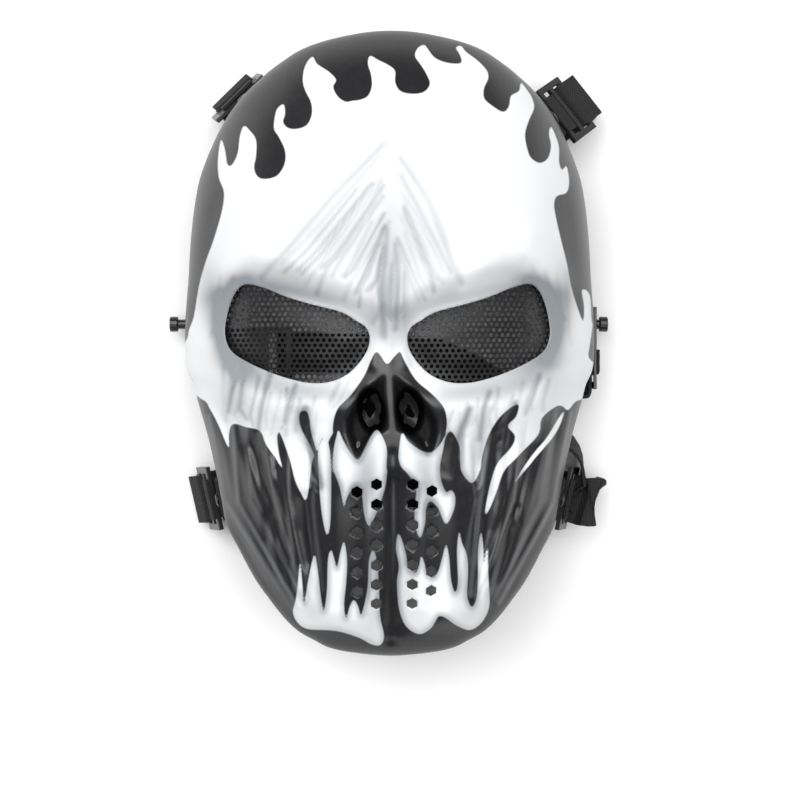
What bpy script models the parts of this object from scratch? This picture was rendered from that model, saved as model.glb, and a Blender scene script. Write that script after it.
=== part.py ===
"""A full face skull mask: a hard moulded shell with two pierced metal eye lenses, and three straps.

The mask lies face up on its rear rim. X runs to the viewer's right, Y to the forehead, and Z out of the face.
The tables below hold lengths as shares of the named sizes. The formulas work in millimetres.
"""

import math
from collections import namedtuple

import bmesh
import bpy
import numpy as np
from mathutils import Matrix, Vector
from mathutils.geometry import delaunay_2d_cdt

# Overall sizes of the shell, in millimetres.
SHELL_HEIGHT = 290.0
SHELL_WIDTH = 201.0
SHELL_DEPTH = 127.0
SHELL_WALL = 3.0
RIM_TUCK = 1.5
GAP = 0.3

# Sizes of the openings.
EYE_LENGTH = 67.5
EYE_HEIGHT = 44.5
HEX_HOLE_FLATS = 4.8
HEX_HOLE_PITCH = 9.1
LENS_FLANGE = 4.0
LENS_THICK = 1.0
LENS_BULGE = 2.5
LENS_GAP_PITCH = 7.4
LENS_GAP_RADIUS = 2.3

# Sizes of the strap hardware.
STRAP_WIDTH = 25.0
SIDE_STRAP_WIDTH = 20.0
STRAP_THICK = 1.5
BUCKLE_LENGTH = 32.0
BUCKLE_DEPTH = 20.0
BUCKLE_THICK = 2.4
BUCKLE_BAR = 3.2
TAB_WIDTH = 20.0
STUD_HEAD_RADIUS = 3.8
STUD_SHANK_RADIUS = 2.4
STUD_STAND = 10.3
STUD_BASE_RADIUS = 4.6
STUD_BASE_THICK = 1.3
STUD_HEAD_THICK = 4.0

# How finely the shell is faceted.
RIM_STEPS = 112
OUTER_GRID = 5.8
INNER_GRID = 12.0

HALF_HEIGHT = SHELL_HEIGHT / 2
HALF_WIDTH = SHELL_WIDTH / 2

# The outline from the front. y and the rim row are shares of half the height and of the depth. half_width
# is a share of half the width. edge is where the front turns into the side wall, as a share of the depth.
OutlineRow = namedtuple("OutlineRow", "y half_width edge")
OUTLINE = (
    OutlineRow(1.000, 0.000, 0.630),
    OutlineRow(0.993, 0.140, 0.628),
    OutlineRow(0.970, 0.302, 0.622),
    OutlineRow(0.944, 0.418, 0.600),
    OutlineRow(0.910, 0.505, 0.578),
    OutlineRow(0.866, 0.597, 0.545),
    OutlineRow(0.799, 0.708, 0.497),
    OutlineRow(0.710, 0.811, 0.420),
    OutlineRow(0.584, 0.903, 0.346),
    OutlineRow(0.486, 0.942, 0.315),
    OutlineRow(0.353, 0.969, 0.285),
    OutlineRow(0.217, 0.983, 0.276),
    OutlineRow(0.081, 0.999, 0.276),
    OutlineRow(-0.021, 1.000, 0.276),
    OutlineRow(-0.088, 0.990, 0.280),
    OutlineRow(-0.139, 0.957, 0.284),
    OutlineRow(-0.190, 0.936, 0.291),
    OutlineRow(-0.290, 0.891, 0.315),
    OutlineRow(-0.357, 0.864, 0.339),
    OutlineRow(-0.438, 0.835, 0.370),
    OutlineRow(-0.518, 0.808, 0.409),
    OutlineRow(-0.597, 0.779, 0.449),
    OutlineRow(-0.672, 0.717, 0.488),
    OutlineRow(-0.763, 0.640, 0.520),
    OutlineRow(-0.828, 0.569, 0.543),
    OutlineRow(-0.886, 0.497, 0.567),
    OutlineRow(-0.926, 0.430, 0.583),
    OutlineRow(-0.953, 0.357, 0.591),
    OutlineRow(-0.975, 0.290, 0.598),
    OutlineRow(-0.990, 0.180, 0.604),
    OutlineRow(-1.000, 0.000, 0.606),
)

# The middle line in profile. height is a share of the depth, and fall is how far the face drops at full
# half width.
ProfileRow = namedtuple("ProfileRow", "y height fall")
PROFILE = (
    ProfileRow(1.00, 0.780, 0.42),
    ProfileRow(0.90, 0.850, 0.44),
    ProfileRow(0.76, 0.915, 0.46),
    ProfileRow(0.55, 0.970, 0.48),
    ProfileRow(0.35, 0.985, 0.49),
    ProfileRow(0.15, 0.950, 0.50),
    ProfileRow(0.00, 0.925, 0.50),
    ProfileRow(-0.20, 0.915, 0.50),
    ProfileRow(-0.42, 0.895, 0.55),
    ProfileRow(-0.62, 0.870, 0.60),
    ProfileRow(-0.80, 0.830, 0.62),
    ProfileRow(-0.90, 0.780, 0.58),
    ProfileRow(-1.00, 0.700, 0.50),
)

# The rear rim. It stands on the floor where rise is 0. y and rise are shares of half the height and of
# the depth.
RimRow = namedtuple("RimRow", "y rise")
RIM = (
    RimRow(1.000, 0.230),
    RimRow(0.930, 0.210),
    RimRow(0.680, 0.190),
    RimRow(0.620, 0.000),
    RimRow(-0.035, 0.000),
    RimRow(-0.070, 0.215),
    RimRow(-0.640, 0.215),
    RimRow(-0.690, 0.000),
    RimRow(-0.790, 0.000),
    RimRow(-0.850, 0.190),
    RimRow(-1.000, 0.230),
)

# The eye opening, walked round from its inner end. Both columns are shares of its length and height.
EyeRow = namedtuple("EyeRow", "along up")
EYE = (
    EyeRow(0.000, 0.060),
    EyeRow(0.025, 0.165),
    EyeRow(0.090, 0.232),
    EyeRow(0.190, 0.318),
    EyeRow(0.380, 0.396),
    EyeRow(0.545, 0.472),
    EyeRow(0.700, 0.567),
    EyeRow(0.825, 0.614),
    EyeRow(0.895, 0.565),
    EyeRow(0.945, 0.453),
    EyeRow(0.982, 0.296),
    EyeRow(1.000, 0.138),
    EyeRow(0.982, 0.000),
    EyeRow(0.930, -0.100),
    EyeRow(0.825, -0.191),
    EyeRow(0.685, -0.281),
    EyeRow(0.550, -0.347),
    EyeRow(0.410, -0.389),
    EyeRow(0.277, -0.382),
    EyeRow(0.160, -0.314),
    EyeRow(0.077, -0.202),
    EyeRow(0.018, -0.067),
)
EYE_INNER_X = 8.3

# The nose cavity, from its top, down one side to the foot of its lobe and back to the septum. Shares of
# half the width and of half the height.
NoseRow = namedtuple("NoseRow", "x y")
NOSE = (
    NoseRow(0.026, -0.103),
    NoseRow(0.078, -0.128),
    NoseRow(0.125, -0.158),
    NoseRow(0.170, -0.197),
    NoseRow(0.197, -0.232),
    NoseRow(0.197, -0.272),
    NoseRow(0.182, -0.307),
    NoseRow(0.160, -0.340),
    NoseRow(0.135, -0.322),
    NoseRow(0.105, -0.300),
    NoseRow(0.068, -0.270),
    NoseRow(0.026, -0.258),
)
NOSE_DEPTH = 7.0
NOSTRIL_DEPTH = 8.0

# The breath holes: x of each column as a share of half the width, its first hole as a share of half the
# height.
HoleColumn = namedtuple("HoleColumn", "x first_y count")
HOLE_COLUMNS = (
    HoleColumn(-0.158, -0.452, 6),
    HoleColumn(-0.072, -0.428, 7),
    HoleColumn(0.088, -0.428, 7),
    HoleColumn(0.172, -0.449, 6),
)

# How far the middle of the face leans from the middle of the shell, in millimetres, by height share.
LeanRow = namedtuple("LeanRow", "y lean")
LEAN = (
    LeanRow(-1.00, 0.8),
    LeanRow(-0.42, 0.8),
    LeanRow(-0.25, -0.5),
    LeanRow(-0.13, -1.7),
    LeanRow(0.05, -2.0),
    LeanRow(1.00, 0.0),
)

# The raised and sunk folds of one side of the face, each a bent line of three points. The points are
# shares of half the width and half the height, and width and rise are millimetres across and out of the
# face.
Fold = namedtuple("Fold", "name x0 y0 x1 y1 x2 y2 width rise")
FOLDS = (
    Fold("frown ridge", 0.040, 0.560, 0.230, 0.400, 0.500, 0.240, 6.0, 1.6),
    Fold("inner brow", 0.060, 0.120, 0.200, 0.190, 0.420, 0.240, 8.0, 3.0),
    Fold("outer brow", 0.420, 0.250, 0.620, 0.290, 0.780, 0.200, 8.0, 3.4),
    Fold("temple hollow", 0.800, 0.420, 0.840, 0.250, 0.850, 0.080, 10.0, -2.2),
    Fold("bridge side", 0.045, 0.200, 0.050, 0.080, 0.070, -0.060, 3.2, 1.6),
    Fold("cheekbone", 0.240, -0.160, 0.520, -0.190, 0.800, -0.110, 9.0, 3.2),
    Fold("under cheekbone", 0.330, -0.330, 0.600, -0.330, 0.820, -0.220, 10.0, -3.6),
    Fold("cheek slit", 0.400, -0.480, 0.410, -0.580, 0.380, -0.680, 3.6, -2.6),
    Fold("cheek slit upper", 0.440, -0.210, 0.420, -0.300, 0.360, -0.420, 3.0, -2.0),
    Fold("jaw fibre inner", 0.560, -0.360, 0.480, -0.540, 0.430, -0.760, 4.0, 2.0),
    Fold("jaw fibre middle", 0.700, -0.330, 0.600, -0.520, 0.500, -0.740, 4.0, 1.8),
    Fold("jaw fibre outer", 0.830, -0.300, 0.730, -0.520, 0.590, -0.740, 4.5, 1.6),
    Fold("jaw fibre valley", 0.640, -0.330, 0.550, -0.520, 0.470, -0.740, 3.0, -1.6),
    Fold("upper lip", 0.080, -0.400, 0.240, -0.400, 0.330, -0.330, 6.0, 1.8),
    Fold("tooth ridge inner", 0.125, -0.420, 0.125, -0.600, 0.125, -0.820, 3.6, 1.2),
    Fold("tooth ridge outer", 0.260, -0.420, 0.260, -0.600, 0.250, -0.820, 5.0, 1.6),
    Fold("chin corner", 0.190, -0.860, 0.300, -0.860, 0.370, -0.820, 7.0, 2.4),
)
MOUTH_GROOVE_DEPTH = 2.6
MOUTH_GROOVE_WIDTH = 5.0
SOCKET_DEPTH = 4.5
SOCKET_REACH = 14.0
SOCKET_RING = 6.0
EDGE_POWER = 8.0
EDGE_ROUND = 2.2
INNER_RELIEF_SHARE = 0.85


def soft_curve(at, known, values):
    """Values between the rows of a table, on a smooth curve through them."""
    order = np.argsort(known)
    xs = np.asarray(known, float)[order]
    ys = np.asarray(values, float)[order]
    slopes = np.gradient(ys, xs)
    at = np.clip(np.asarray(at, float), xs[0], xs[-1])
    low = np.clip(np.searchsorted(xs, at) - 1, 0, len(xs) - 2)
    step = xs[low + 1] - xs[low]
    t = (at - xs[low]) / step
    rise = ys[low + 1] - ys[low]
    first = slopes[low] * step
    last = slopes[low + 1] * step
    square = 3 * rise - 2 * first - last
    cube = first + last - 2 * rise
    return ys[low] + t * first + t**2 * square + t**3 * cube


def straight_curve(at, known, values):
    """Values between the rows of a table, on straight lines."""
    order = np.argsort(known)
    return np.interp(at, np.asarray(known, float)[order], np.asarray(values, float)[order])


def smooth_step(t):
    t = np.clip(t, 0.0, 1.0)
    return t * t * (3 - 2 * t)


def closed_spline(points, steps):
    """A smooth closed line through the points, with this many points from each to the next."""
    points = np.asarray(points, float)
    before = np.roll(points, 1, axis=0)
    after = np.roll(points, -1, axis=0)
    later = np.roll(points, -2, axis=0)
    rows = []
    for step in range(steps):
        t = step / steps
        rows.append(
            0.5
            * (
                2 * points
                + (after - before) * t
                + (2 * before - 5 * points + 4 * after - later) * t**2
                + (3 * points - before - 3 * after + later) * t**3
            )
        )
    return np.stack(rows, axis=1).reshape(-1, 2)


def outline_points():
    right = [(row.half_width * HALF_WIDTH, row.y * HALF_HEIGHT) for row in OUTLINE]
    left = [(-x, y) for x, y in reversed(right[1:-1])]
    return closed_spline(right + left, 8)


SHELL_LINE = outline_points()
LINE_ANGLES = np.arctan2(SHELL_LINE[:, 1], SHELL_LINE[:, 0])
LINE_ORDER = np.argsort(LINE_ANGLES)
LINE_RADII = np.hypot(SHELL_LINE[:, 0], SHELL_LINE[:, 1])


def outline_radius(angle):
    """Distance of the outline from the middle, in this direction."""
    return np.interp(angle, LINE_ANGLES[LINE_ORDER], LINE_RADII[LINE_ORDER], period=2 * math.pi)


def edge_height(y):
    return SHELL_DEPTH * soft_curve(y / HALF_HEIGHT, [r.y for r in OUTLINE], [r.edge for r in OUTLINE])


def rim_height(y):
    return SHELL_DEPTH * straight_curve(y / HALF_HEIGHT, [r.y for r in RIM], [r.rise for r in RIM])


def face_lean(y):
    return soft_curve(y / HALF_HEIGHT, [r.y for r in LEAN], [r.lean for r in LEAN])


def distance_to_line(x, y, points):
    """Distance of each place from a bent line."""
    best = np.full(np.shape(x), 1e9)
    for (ax, ay), (bx, by) in zip(points[:-1], points[1:]):
        dx = bx - ax
        dy = by - ay
        t = np.clip(((x - ax) * dx + (y - ay) * dy) / (dx * dx + dy * dy + 1e-9), 0, 1)
        best = np.minimum(best, np.hypot(x - ax - t * dx, y - ay - t * dy))
    return best


def inside_loop(x, y, loop):
    """Whether each place is inside a closed line."""
    found = np.zeros(np.shape(x), bool)
    ends = np.roll(loop, -1, axis=0)
    for (ax, ay), (bx, by) in zip(loop, ends):
        crosses = (ay > y) != (by > y)
        with np.errstate(divide="ignore", invalid="ignore"):
            at = ax + (y - ay) * (bx - ax) / (by - ay)
        found ^= crosses & (x < at)
    return found


def outside_by(x, y, loop):
    """Distance out of a closed line, and minus the distance inside it."""
    away = distance_to_line(x, y, np.vstack([loop, loop[:1]]))
    return np.where(inside_loop(x, y, loop), -away, away)


EYE_LOOP = np.array([(EYE_INNER_X + r.along * EYE_LENGTH, r.up * EYE_HEIGHT) for r in EYE])
NOSE_LOOP = np.array([(r.x * HALF_WIDTH, r.y * HALF_HEIGHT) for r in NOSE])
NOSTRIL_X = 0.085 * HALF_WIDTH
NOSTRIL_Y = -0.205 * HALF_HEIGHT
NOSTRIL_HALF_WIDTH = 5.2
NOSTRIL_HALF_HEIGHT = 8.5


def relief(x, y):
    """How far the face stands out of the plain dome, at each place."""
    across = np.abs(x - face_lean(y))
    out = np.zeros(np.shape(x))
    for fold in FOLDS:
        line = [
            (fold.x0 * HALF_WIDTH, fold.y0 * HALF_HEIGHT),
            (fold.x1 * HALF_WIDTH, fold.y1 * HALF_HEIGHT),
            (fold.x2 * HALF_WIDTH, fold.y2 * HALF_HEIGHT),
        ]
        away = distance_to_line(across, y, line)
        out = out + fold.rise * np.exp(-((away / fold.width) ** 2))
    socket = np.maximum(outside_by(across, y, EYE_LOOP), 0)
    out = out - SOCKET_DEPTH * (1 - smooth_step(socket / SOCKET_REACH))
    nose = outside_by(across, y, NOSE_LOOP)
    out = out - NOSE_DEPTH * (1 - smooth_step((nose + 3.5) / 5.0))
    nostril = np.hypot((across - NOSTRIL_X) / NOSTRIL_HALF_WIDTH, (y - NOSTRIL_Y) / NOSTRIL_HALF_HEIGHT)
    out = out - NOSTRIL_DEPTH * (1 - smooth_step((nostril - 0.55) / 0.7))
    in_mouth = smooth_step((-0.37 * HALF_HEIGHT - y) / 8) * smooth_step((y + 0.93 * HALF_HEIGHT) / 8)
    out = out - MOUTH_GROOVE_DEPTH * np.exp(-((across / MOUTH_GROOVE_WIDTH) ** 2)) * in_mouth
    return out


def face_height(x, y, inner=False):
    """Height of the front skin above the floor. The inner skin lies one wall inside the outer one."""
    radius = outline_radius(np.arctan2(y, x))
    wall = SHELL_WALL if inner else 0.0
    share = np.clip(np.hypot(x, y) / (radius - wall), 0, 1)
    edge_y = np.clip(y / np.maximum(share, 1e-6), -HALF_HEIGHT, HALF_HEIGHT)
    edge = edge_height(np.where(share > 0.3, edge_y, y))
    level = y / HALF_HEIGHT
    middle = SHELL_DEPTH * soft_curve(level, [r.y for r in PROFILE], [r.height for r in PROFILE])
    fall = SHELL_DEPTH * soft_curve(level, [r.y for r in PROFILE], [r.fall for r in PROFILE])
    dome = middle - fall * (np.abs(x) / HALF_WIDTH) ** 2.2 - wall
    turn = (1 - share**EDGE_POWER) ** (1 / EDGE_ROUND)
    kept = smooth_step((1 - share) / 0.14)
    relief_share = INNER_RELIEF_SHARE if inner else 1.0
    blend = smooth_step((share - 0.3) / 0.5)
    edge = edge * blend + (1 - blend) * edge_height(y)
    return edge + (dome - edge) * turn + relief_share * relief(x, y) * kept


def hexagon(x, y, radius):
    turns = [math.pi / 3 * k + math.pi / 6 for k in range(6)]
    return np.array([(x + radius * math.cos(turn), y + radius * math.sin(turn)) for turn in turns])


def eye_contour(side):
    loop = closed_spline(EYE_LOOP, 2)
    placed = np.column_stack([side * loop[:, 0] + face_lean(loop[:, 1]), loop[:, 1]])
    return placed if side > 0 else placed[::-1]


def breath_holes():
    radius = HEX_HOLE_FLATS / math.sqrt(3)
    loops = []
    for column in HOLE_COLUMNS:
        for k in range(column.count):
            y = column.first_y * HALF_HEIGHT - k * HEX_HOLE_PITCH
            loops.append(hexagon(column.x * HALF_WIDTH, y, radius))
    return loops


def ring_at(share, wall=0.0):
    angles = np.linspace(0, 2 * math.pi, RIM_STEPS, endpoint=False)
    angles = (angles + math.pi) % (2 * math.pi) - math.pi
    radii = (outline_radius(angles) - wall) * share
    return np.column_stack([radii * np.cos(angles), radii * np.sin(angles)])


def filled_plate(loops, free_points):
    """A flat net of triangles inside the first loop and outside the others, with the indices of each loop."""
    points = []
    edges = []
    spans = []
    for loop in loops:
        start = len(points)
        points.extend((float(x), float(y)) for x, y in loop)
        spans.append(list(range(start, len(points))))
        edges.extend((start + k, start + (k + 1) % len(loop)) for k in range(len(loop)))
    points.extend((float(x), float(y)) for x, y in free_points)
    found = delaunay_2d_cdt([tuple(p) for p in points], edges, [], 0, 1e-7)
    placed = np.array([(v[0], v[1]) for v in found[0]])
    new_index = {}
    for new, olds in enumerate(found[3]):
        for old in olds:
            new_index[old] = new
    triangles = np.array(found[2])
    centres = placed[triangles].mean(axis=1)
    keep = inside_loop(centres[:, 0], centres[:, 1], loops[0])
    for loop in loops[1:]:
        keep &= ~inside_loop(centres[:, 0], centres[:, 1], loop)
    triangles = triangles[keep]
    a, b, c = placed[triangles[:, 0]], placed[triangles[:, 1]], placed[triangles[:, 2]]
    area = (b[:, 0] - a[:, 0]) * (c[:, 1] - a[:, 1]) - (b[:, 1] - a[:, 1]) * (c[:, 0] - a[:, 0])
    triangles[area < 0] = triangles[area < 0][:, ::-1]
    return placed, triangles, [[new_index[k] for k in span] for span in spans]


def grid_points(spacing, loops, clear, reach, wall=0.0):
    """Evenly spread places inside the face that keep clear of every loop."""
    rows = np.arange(-HALF_HEIGHT, HALF_HEIGHT, spacing * math.sqrt(3) / 2)
    places = []
    for k, y in enumerate(rows):
        xs = np.arange(-HALF_WIDTH, HALF_WIDTH, spacing) + (k % 2) * spacing / 2
        places.extend((x, y) for x in xs)
    places = np.array(places)
    radius = outline_radius(np.arctan2(places[:, 1], places[:, 0])) - wall
    keep = np.hypot(places[:, 0], places[:, 1]) < reach * radius
    for loop in loops:
        keep &= outside_by(places[:, 0], places[:, 1], loop) > clear
    return places[keep]


def make_object(name, points, faces, material, smooth=False):
    """A mesh object from points in millimetres."""
    mesh = bpy.data.meshes.new(name)
    places = [tuple(np.asarray(p, float) * 0.001) for p in points]
    mesh.from_pydata(places, [], [tuple(int(i) for i in f) for f in faces])
    mesh.materials.append(material)
    if smooth:
        mesh.polygons.foreach_set("use_smooth", [True] * len(mesh.polygons))
    mesh.update()
    made = bpy.data.objects.new(name, mesh)
    bpy.context.scene.collection.objects.link(made)
    return made


def make_material(name, colour, roughness, metallic=0.0):
    material = bpy.data.materials.new(name)
    material.use_nodes = True
    shader = material.node_tree.nodes["Principled BSDF"]
    shader.inputs["Base Color"].default_value = (*colour, 1.0)
    shader.inputs["Roughness"].default_value = roughness
    shader.inputs["Metallic"].default_value = metallic
    return material


def strip(faces, first, second):
    """Joins two closed rows of the same length with quads."""
    count = len(first)
    for k in range(count):
        j = (k + 1) % count
        faces.append((first[k], second[k], second[j], first[j]))


def detail_rings():
    """Closed rows of points that the outer skin needs beside the eyes and in the nose."""
    rings = []
    nose_middle = NOSE_LOOP.mean(axis=0)
    nostril = np.array([(math.cos(math.pi / 4 * k), math.sin(math.pi / 4 * k)) for k in range(8)])
    size = np.array([NOSTRIL_HALF_WIDTH, NOSTRIL_HALF_HEIGHT])
    for side in (-1, 1):
        eye = eye_contour(side)
        away = eye - eye.mean(axis=0)
        rings.append((eye + away / np.hypot(away[:, 0], away[:, 1])[:, None] * SOCKET_RING)[::2])
        loops = [
            nose_middle + (NOSE_LOOP - nose_middle) * 1.18,
            nose_middle + (NOSE_LOOP - nose_middle) * 0.80,
            np.array([NOSTRIL_X, NOSTRIL_Y]) + nostril * size * 0.6,
        ]
        for loop in loops:
            rings.append(np.column_stack([side * loop[:, 0] + face_lean(loop[:, 1]), loop[:, 1]]))
    return rings


def make_shell(material):
    """The moulded face: outer skin, side wall down to the rim, and inner skin, with its eyes and holes."""
    holes = [eye_contour(-1), eye_contour(1)] + breath_holes()
    outer_rings = [ring_at(s) for s in (0.985, 0.955, 0.915, 0.865)]
    inner_rings = [ring_at(s, SHELL_WALL) for s in (0.97, 0.89)]
    details = detail_rings()
    outer_grid = grid_points(OUTER_GRID, holes + details, 2.2, 0.835)
    outer_free = np.vstack([outer_grid] + outer_rings + details)
    lens_rims = [lens_rim(-1), lens_rim(1)]
    inner_grid = grid_points(INNER_GRID, holes + lens_rims, 4.0, 0.84, SHELL_WALL)
    inner_free = np.vstack([inner_grid] + inner_rings + lens_rims)
    outer_flat, outer_faces, outer_spans = filled_plate([ring_at(1.0)] + holes, outer_free)
    inner_flat, inner_faces, inner_spans = filled_plate([ring_at(1.0, SHELL_WALL)] + holes, inner_free)
    outer_z = face_height(outer_flat[:, 0], outer_flat[:, 1])
    inner_z = face_height(inner_flat[:, 0], inner_flat[:, 1], inner=True)
    points = [(x, y, z) for (x, y), z in zip(outer_flat, outer_z)]
    shift = len(points)
    points += [(x, y, z) for (x, y), z in zip(inner_flat, inner_z)]
    faces = [tuple(f) for f in outer_faces]
    faces += [tuple(i + shift for i in f[::-1]) for f in inner_faces]
    outer_ring = outer_spans[0]
    inner_ring = [i + shift for i in inner_spans[0]]
    for k, i in enumerate(outer_ring):
        x, y, _ = points[i]
        points[i] = (x, y, float(edge_height(y)))
        x, y, _ = points[inner_ring[k]]
        points[inner_ring[k]] = (x, y, float(edge_height(y)))
    rows = []
    for share, wall in ((0.5, 0.0), (1.0, 0.0), (1.0, SHELL_WALL), (0.5, SHELL_WALL)):
        row = []
        for k in range(RIM_STEPS):
            x, y, top = points[outer_ring[k]]
            radius = math.hypot(x, y)
            scale = (radius - wall - share * RIM_TUCK) / radius
            low = float(rim_height(y))
            row.append(len(points))
            points.append((x * scale, y * scale, top + (low - top) * share))
        rows.append(row)
    strip(faces, outer_ring, rows[0])
    strip(faces, rows[0], rows[1])
    strip(faces, rows[1], rows[2])
    strip(faces, rows[2], rows[3])
    strip(faces, rows[3], inner_ring)
    for outer_span, inner_span in zip(outer_spans[1:], inner_spans[1:]):
        strip(faces, [i + shift for i in inner_span], outer_span)
    return close_and_turn(make_object("shell", points, faces, material, smooth=True))


def close_and_turn(made):
    """Turns all faces of a closed body outwards."""
    body = bmesh.new()
    body.from_mesh(made.data)
    bmesh.ops.triangulate(body, faces=body.faces[:])
    bmesh.ops.recalc_face_normals(body, faces=body.faces[:])
    if body.calc_volume(signed=True) < 0:
        bmesh.ops.reverse_faces(body, faces=body.faces[:])
    body.to_mesh(made.data)
    body.free()
    return made


def lens_rim(side):
    """The outer edge of a lens, one flange outside the eye opening."""
    eye = eye_contour(side)
    away = eye - eye.mean(axis=0)
    return eye + away / np.hypot(away[:, 0], away[:, 1])[:, None] * LENS_FLANGE


def lens_height(x, y):
    """Front skin of a lens. It lies behind the shell at its flange and swells forward inside the opening."""
    across = np.abs(x - face_lean(y))
    inside = np.maximum(-outside_by(across, y, EYE_LOOP), 0)
    return face_height(x, y, inner=True) - 0.6 + LENS_BULGE * smooth_step(inside / 12.0)


def make_lens(name, side, material):
    """A pierced metal lens behind one eye opening."""
    eye = eye_contour(side)
    middle = eye.mean(axis=0)
    rim = lens_rim(side)
    gaps = []
    for row in range(-6, 7):
        for column in range(-7, 8):
            x = middle[0] + (column + (row % 2) / 2) * LENS_GAP_PITCH
            y = middle[1] + row * LENS_GAP_PITCH * math.sqrt(3) / 2
            if outside_by(np.array(x), np.array(y), eye) < -(LENS_GAP_RADIUS + 1.0):
                gaps.append(hexagon(x, y, LENS_GAP_RADIUS))
    flat, faces_front, spans = filled_plate([rim] + gaps, eye)
    z = lens_height(flat[:, 0], flat[:, 1])
    points = [(x, y, h) for (x, y), h in zip(flat, z)]
    shift = len(points)
    points += [(x, y, h - LENS_THICK) for (x, y), h in zip(flat, z)]
    faces = [tuple(f) for f in faces_front]
    faces += [tuple(i + shift for i in f[::-1]) for f in faces_front]
    for span in spans:
        strip(faces, span, [i + shift for i in span])
    return close_and_turn(make_object(name, points, faces, material))


def frame_at(x, y):
    """Outward and sideways directions of the outline nearest this place, and the place on the side wall."""
    angle = math.atan2(y, x)
    radius = float(outline_radius(angle))
    step = 0.02
    here = np.array([radius * math.cos(angle), radius * math.sin(angle), 0.0])
    ahead = float(outline_radius(angle + step))
    back = float(outline_radius(angle - step))
    line = np.array(
        [
            ahead * math.cos(angle + step) - back * math.cos(angle - step),
            ahead * math.sin(angle + step) - back * math.sin(angle - step),
            0.0,
        ]
    )
    line /= np.linalg.norm(line)
    outward = np.array([line[1], -line[0], 0.0])
    return here, outward, line


def ribbon(name, path, widths, width, thick, material):
    """A flat band along a path. widths holds the direction across the band at each point."""
    path = np.asarray(path, float)
    widths = np.asarray(widths, float)
    if widths.ndim == 1:
        widths = np.tile(widths, (len(path), 1))
    points = []
    for k, here in enumerate(path):
        before = here - path[k - 1] if k else path[1] - here
        after = path[k + 1] - here if k < len(path) - 1 else here - path[k - 1]
        before = before / np.linalg.norm(before)
        after = after / np.linalg.norm(after)
        tangent = before + after
        tangent /= np.linalg.norm(tangent)
        across = widths[k] - tangent * np.dot(widths[k], tangent)
        across /= np.linalg.norm(across)
        normal = np.cross(tangent, across)
        lean = max(0.5, abs(float(np.dot(tangent, before))))
        half = thick / 2 / lean
        for side, face in ((-1, -1), (1, -1), (1, 1), (-1, 1)):
            points.append(here + across * side * width / 2 + normal * face * half)
    faces = [(0, 1, 2, 3)]
    for k in range(len(path) - 1):
        first = [4 * k + i for i in range(4)]
        strip(faces, first, [i + 4 for i in first])
    last = 4 * (len(path) - 1)
    faces.append((last + 3, last + 2, last + 1, last))
    return close_and_turn(make_object(name, points, faces, material))


def bent_path(corners, steps=5):
    """The corner points with each inner corner rounded off by the length given beside it."""
    path = [np.asarray(corners[0][0], float)]
    for k in range(1, len(corners) - 1):
        place = np.asarray(corners[k][0], float)
        cut = corners[k][1]
        before = np.asarray(corners[k - 1][0], float) - place
        after = np.asarray(corners[k + 1][0], float) - place
        start = place + before / np.linalg.norm(before) * cut
        end = place + after / np.linalg.norm(after) * cut
        for step in range(steps + 1):
            t = step / steps
            path.append(start * (1 - t) ** 2 + 2 * place * t * (1 - t) + end * t * t)
    path.append(np.asarray(corners[-1][0], float))
    return path


def slotted_plate(name, origin, along, across, length, width, thick, slots, material):
    """A flat plate with rectangular slots. A slot is its start and end along the plate and its width."""
    normal = np.cross(along, across)
    rim = np.array([(0, -width / 2), (length, -width / 2), (length, width / 2), (0, width / 2)])
    loops = [rim]
    loops += [np.array([(a, -w / 2), (b, -w / 2), (b, w / 2), (a, w / 2)]) for a, b, w in slots]
    points = []
    edges = []
    spans = []
    for loop in loops:
        start = len(points)
        points.extend((float(a), float(b)) for a, b in loop)
        spans.append(list(range(start, start + 4)))
        edges.extend((start + k, start + (k + 1) % 4) for k in range(4))
    found = delaunay_2d_cdt(points, edges, [], 0, 1e-7)
    flat = np.array([(v[0], v[1]) for v in found[0]])
    new_index = {old: new for new, olds in enumerate(found[3]) for old in olds}
    placed = [origin + along * a + across * b + normal * thick / 2 for a, b in flat]
    placed += [origin + along * a + across * b - normal * thick / 2 for a, b in flat]
    shift = len(flat)
    faces = []
    for triangle in found[2]:
        centre = flat[list(triangle)].mean(axis=0)
        if any(a < centre[0] < b and abs(centre[1]) < w / 2 for a, b, w in slots):
            continue
        faces.append(tuple(triangle))
        faces.append(tuple(i + shift for i in reversed(triangle)))
    for span in spans:
        row = [new_index[i] for i in span]
        strip(faces, row, [i + shift for i in row])
    return close_and_turn(make_object(name, placed, faces, material))


def turned_piece(name, centre, axis, profile, steps, material):
    """A round piece from a profile of rows, each a height along the axis and a radius."""
    axis = np.asarray(axis, float) / np.linalg.norm(axis)
    helper = np.array([0.0, 0.0, 1.0]) if abs(axis[2]) < 0.9 else np.array([1.0, 0.0, 0.0])
    side = np.cross(helper, axis)
    side /= np.linalg.norm(side)
    up = np.cross(axis, side)
    centre = np.asarray(centre, float)
    points = []
    rows = []
    for height, radius in profile:
        row = []
        for k in range(steps):
            turn = 2 * math.pi * k / steps
            row.append(len(points))
            points.append(centre + axis * height + (side * math.cos(turn) + up * math.sin(turn)) * radius)
        rows.append(row)
    faces = [tuple(rows[0]), tuple(reversed(rows[-1]))]
    for first, second in zip(rows[:-1], rows[1:]):
        strip(faces, first, second)
    return close_and_turn(make_object(name, points, faces, material, smooth=False))


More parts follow.
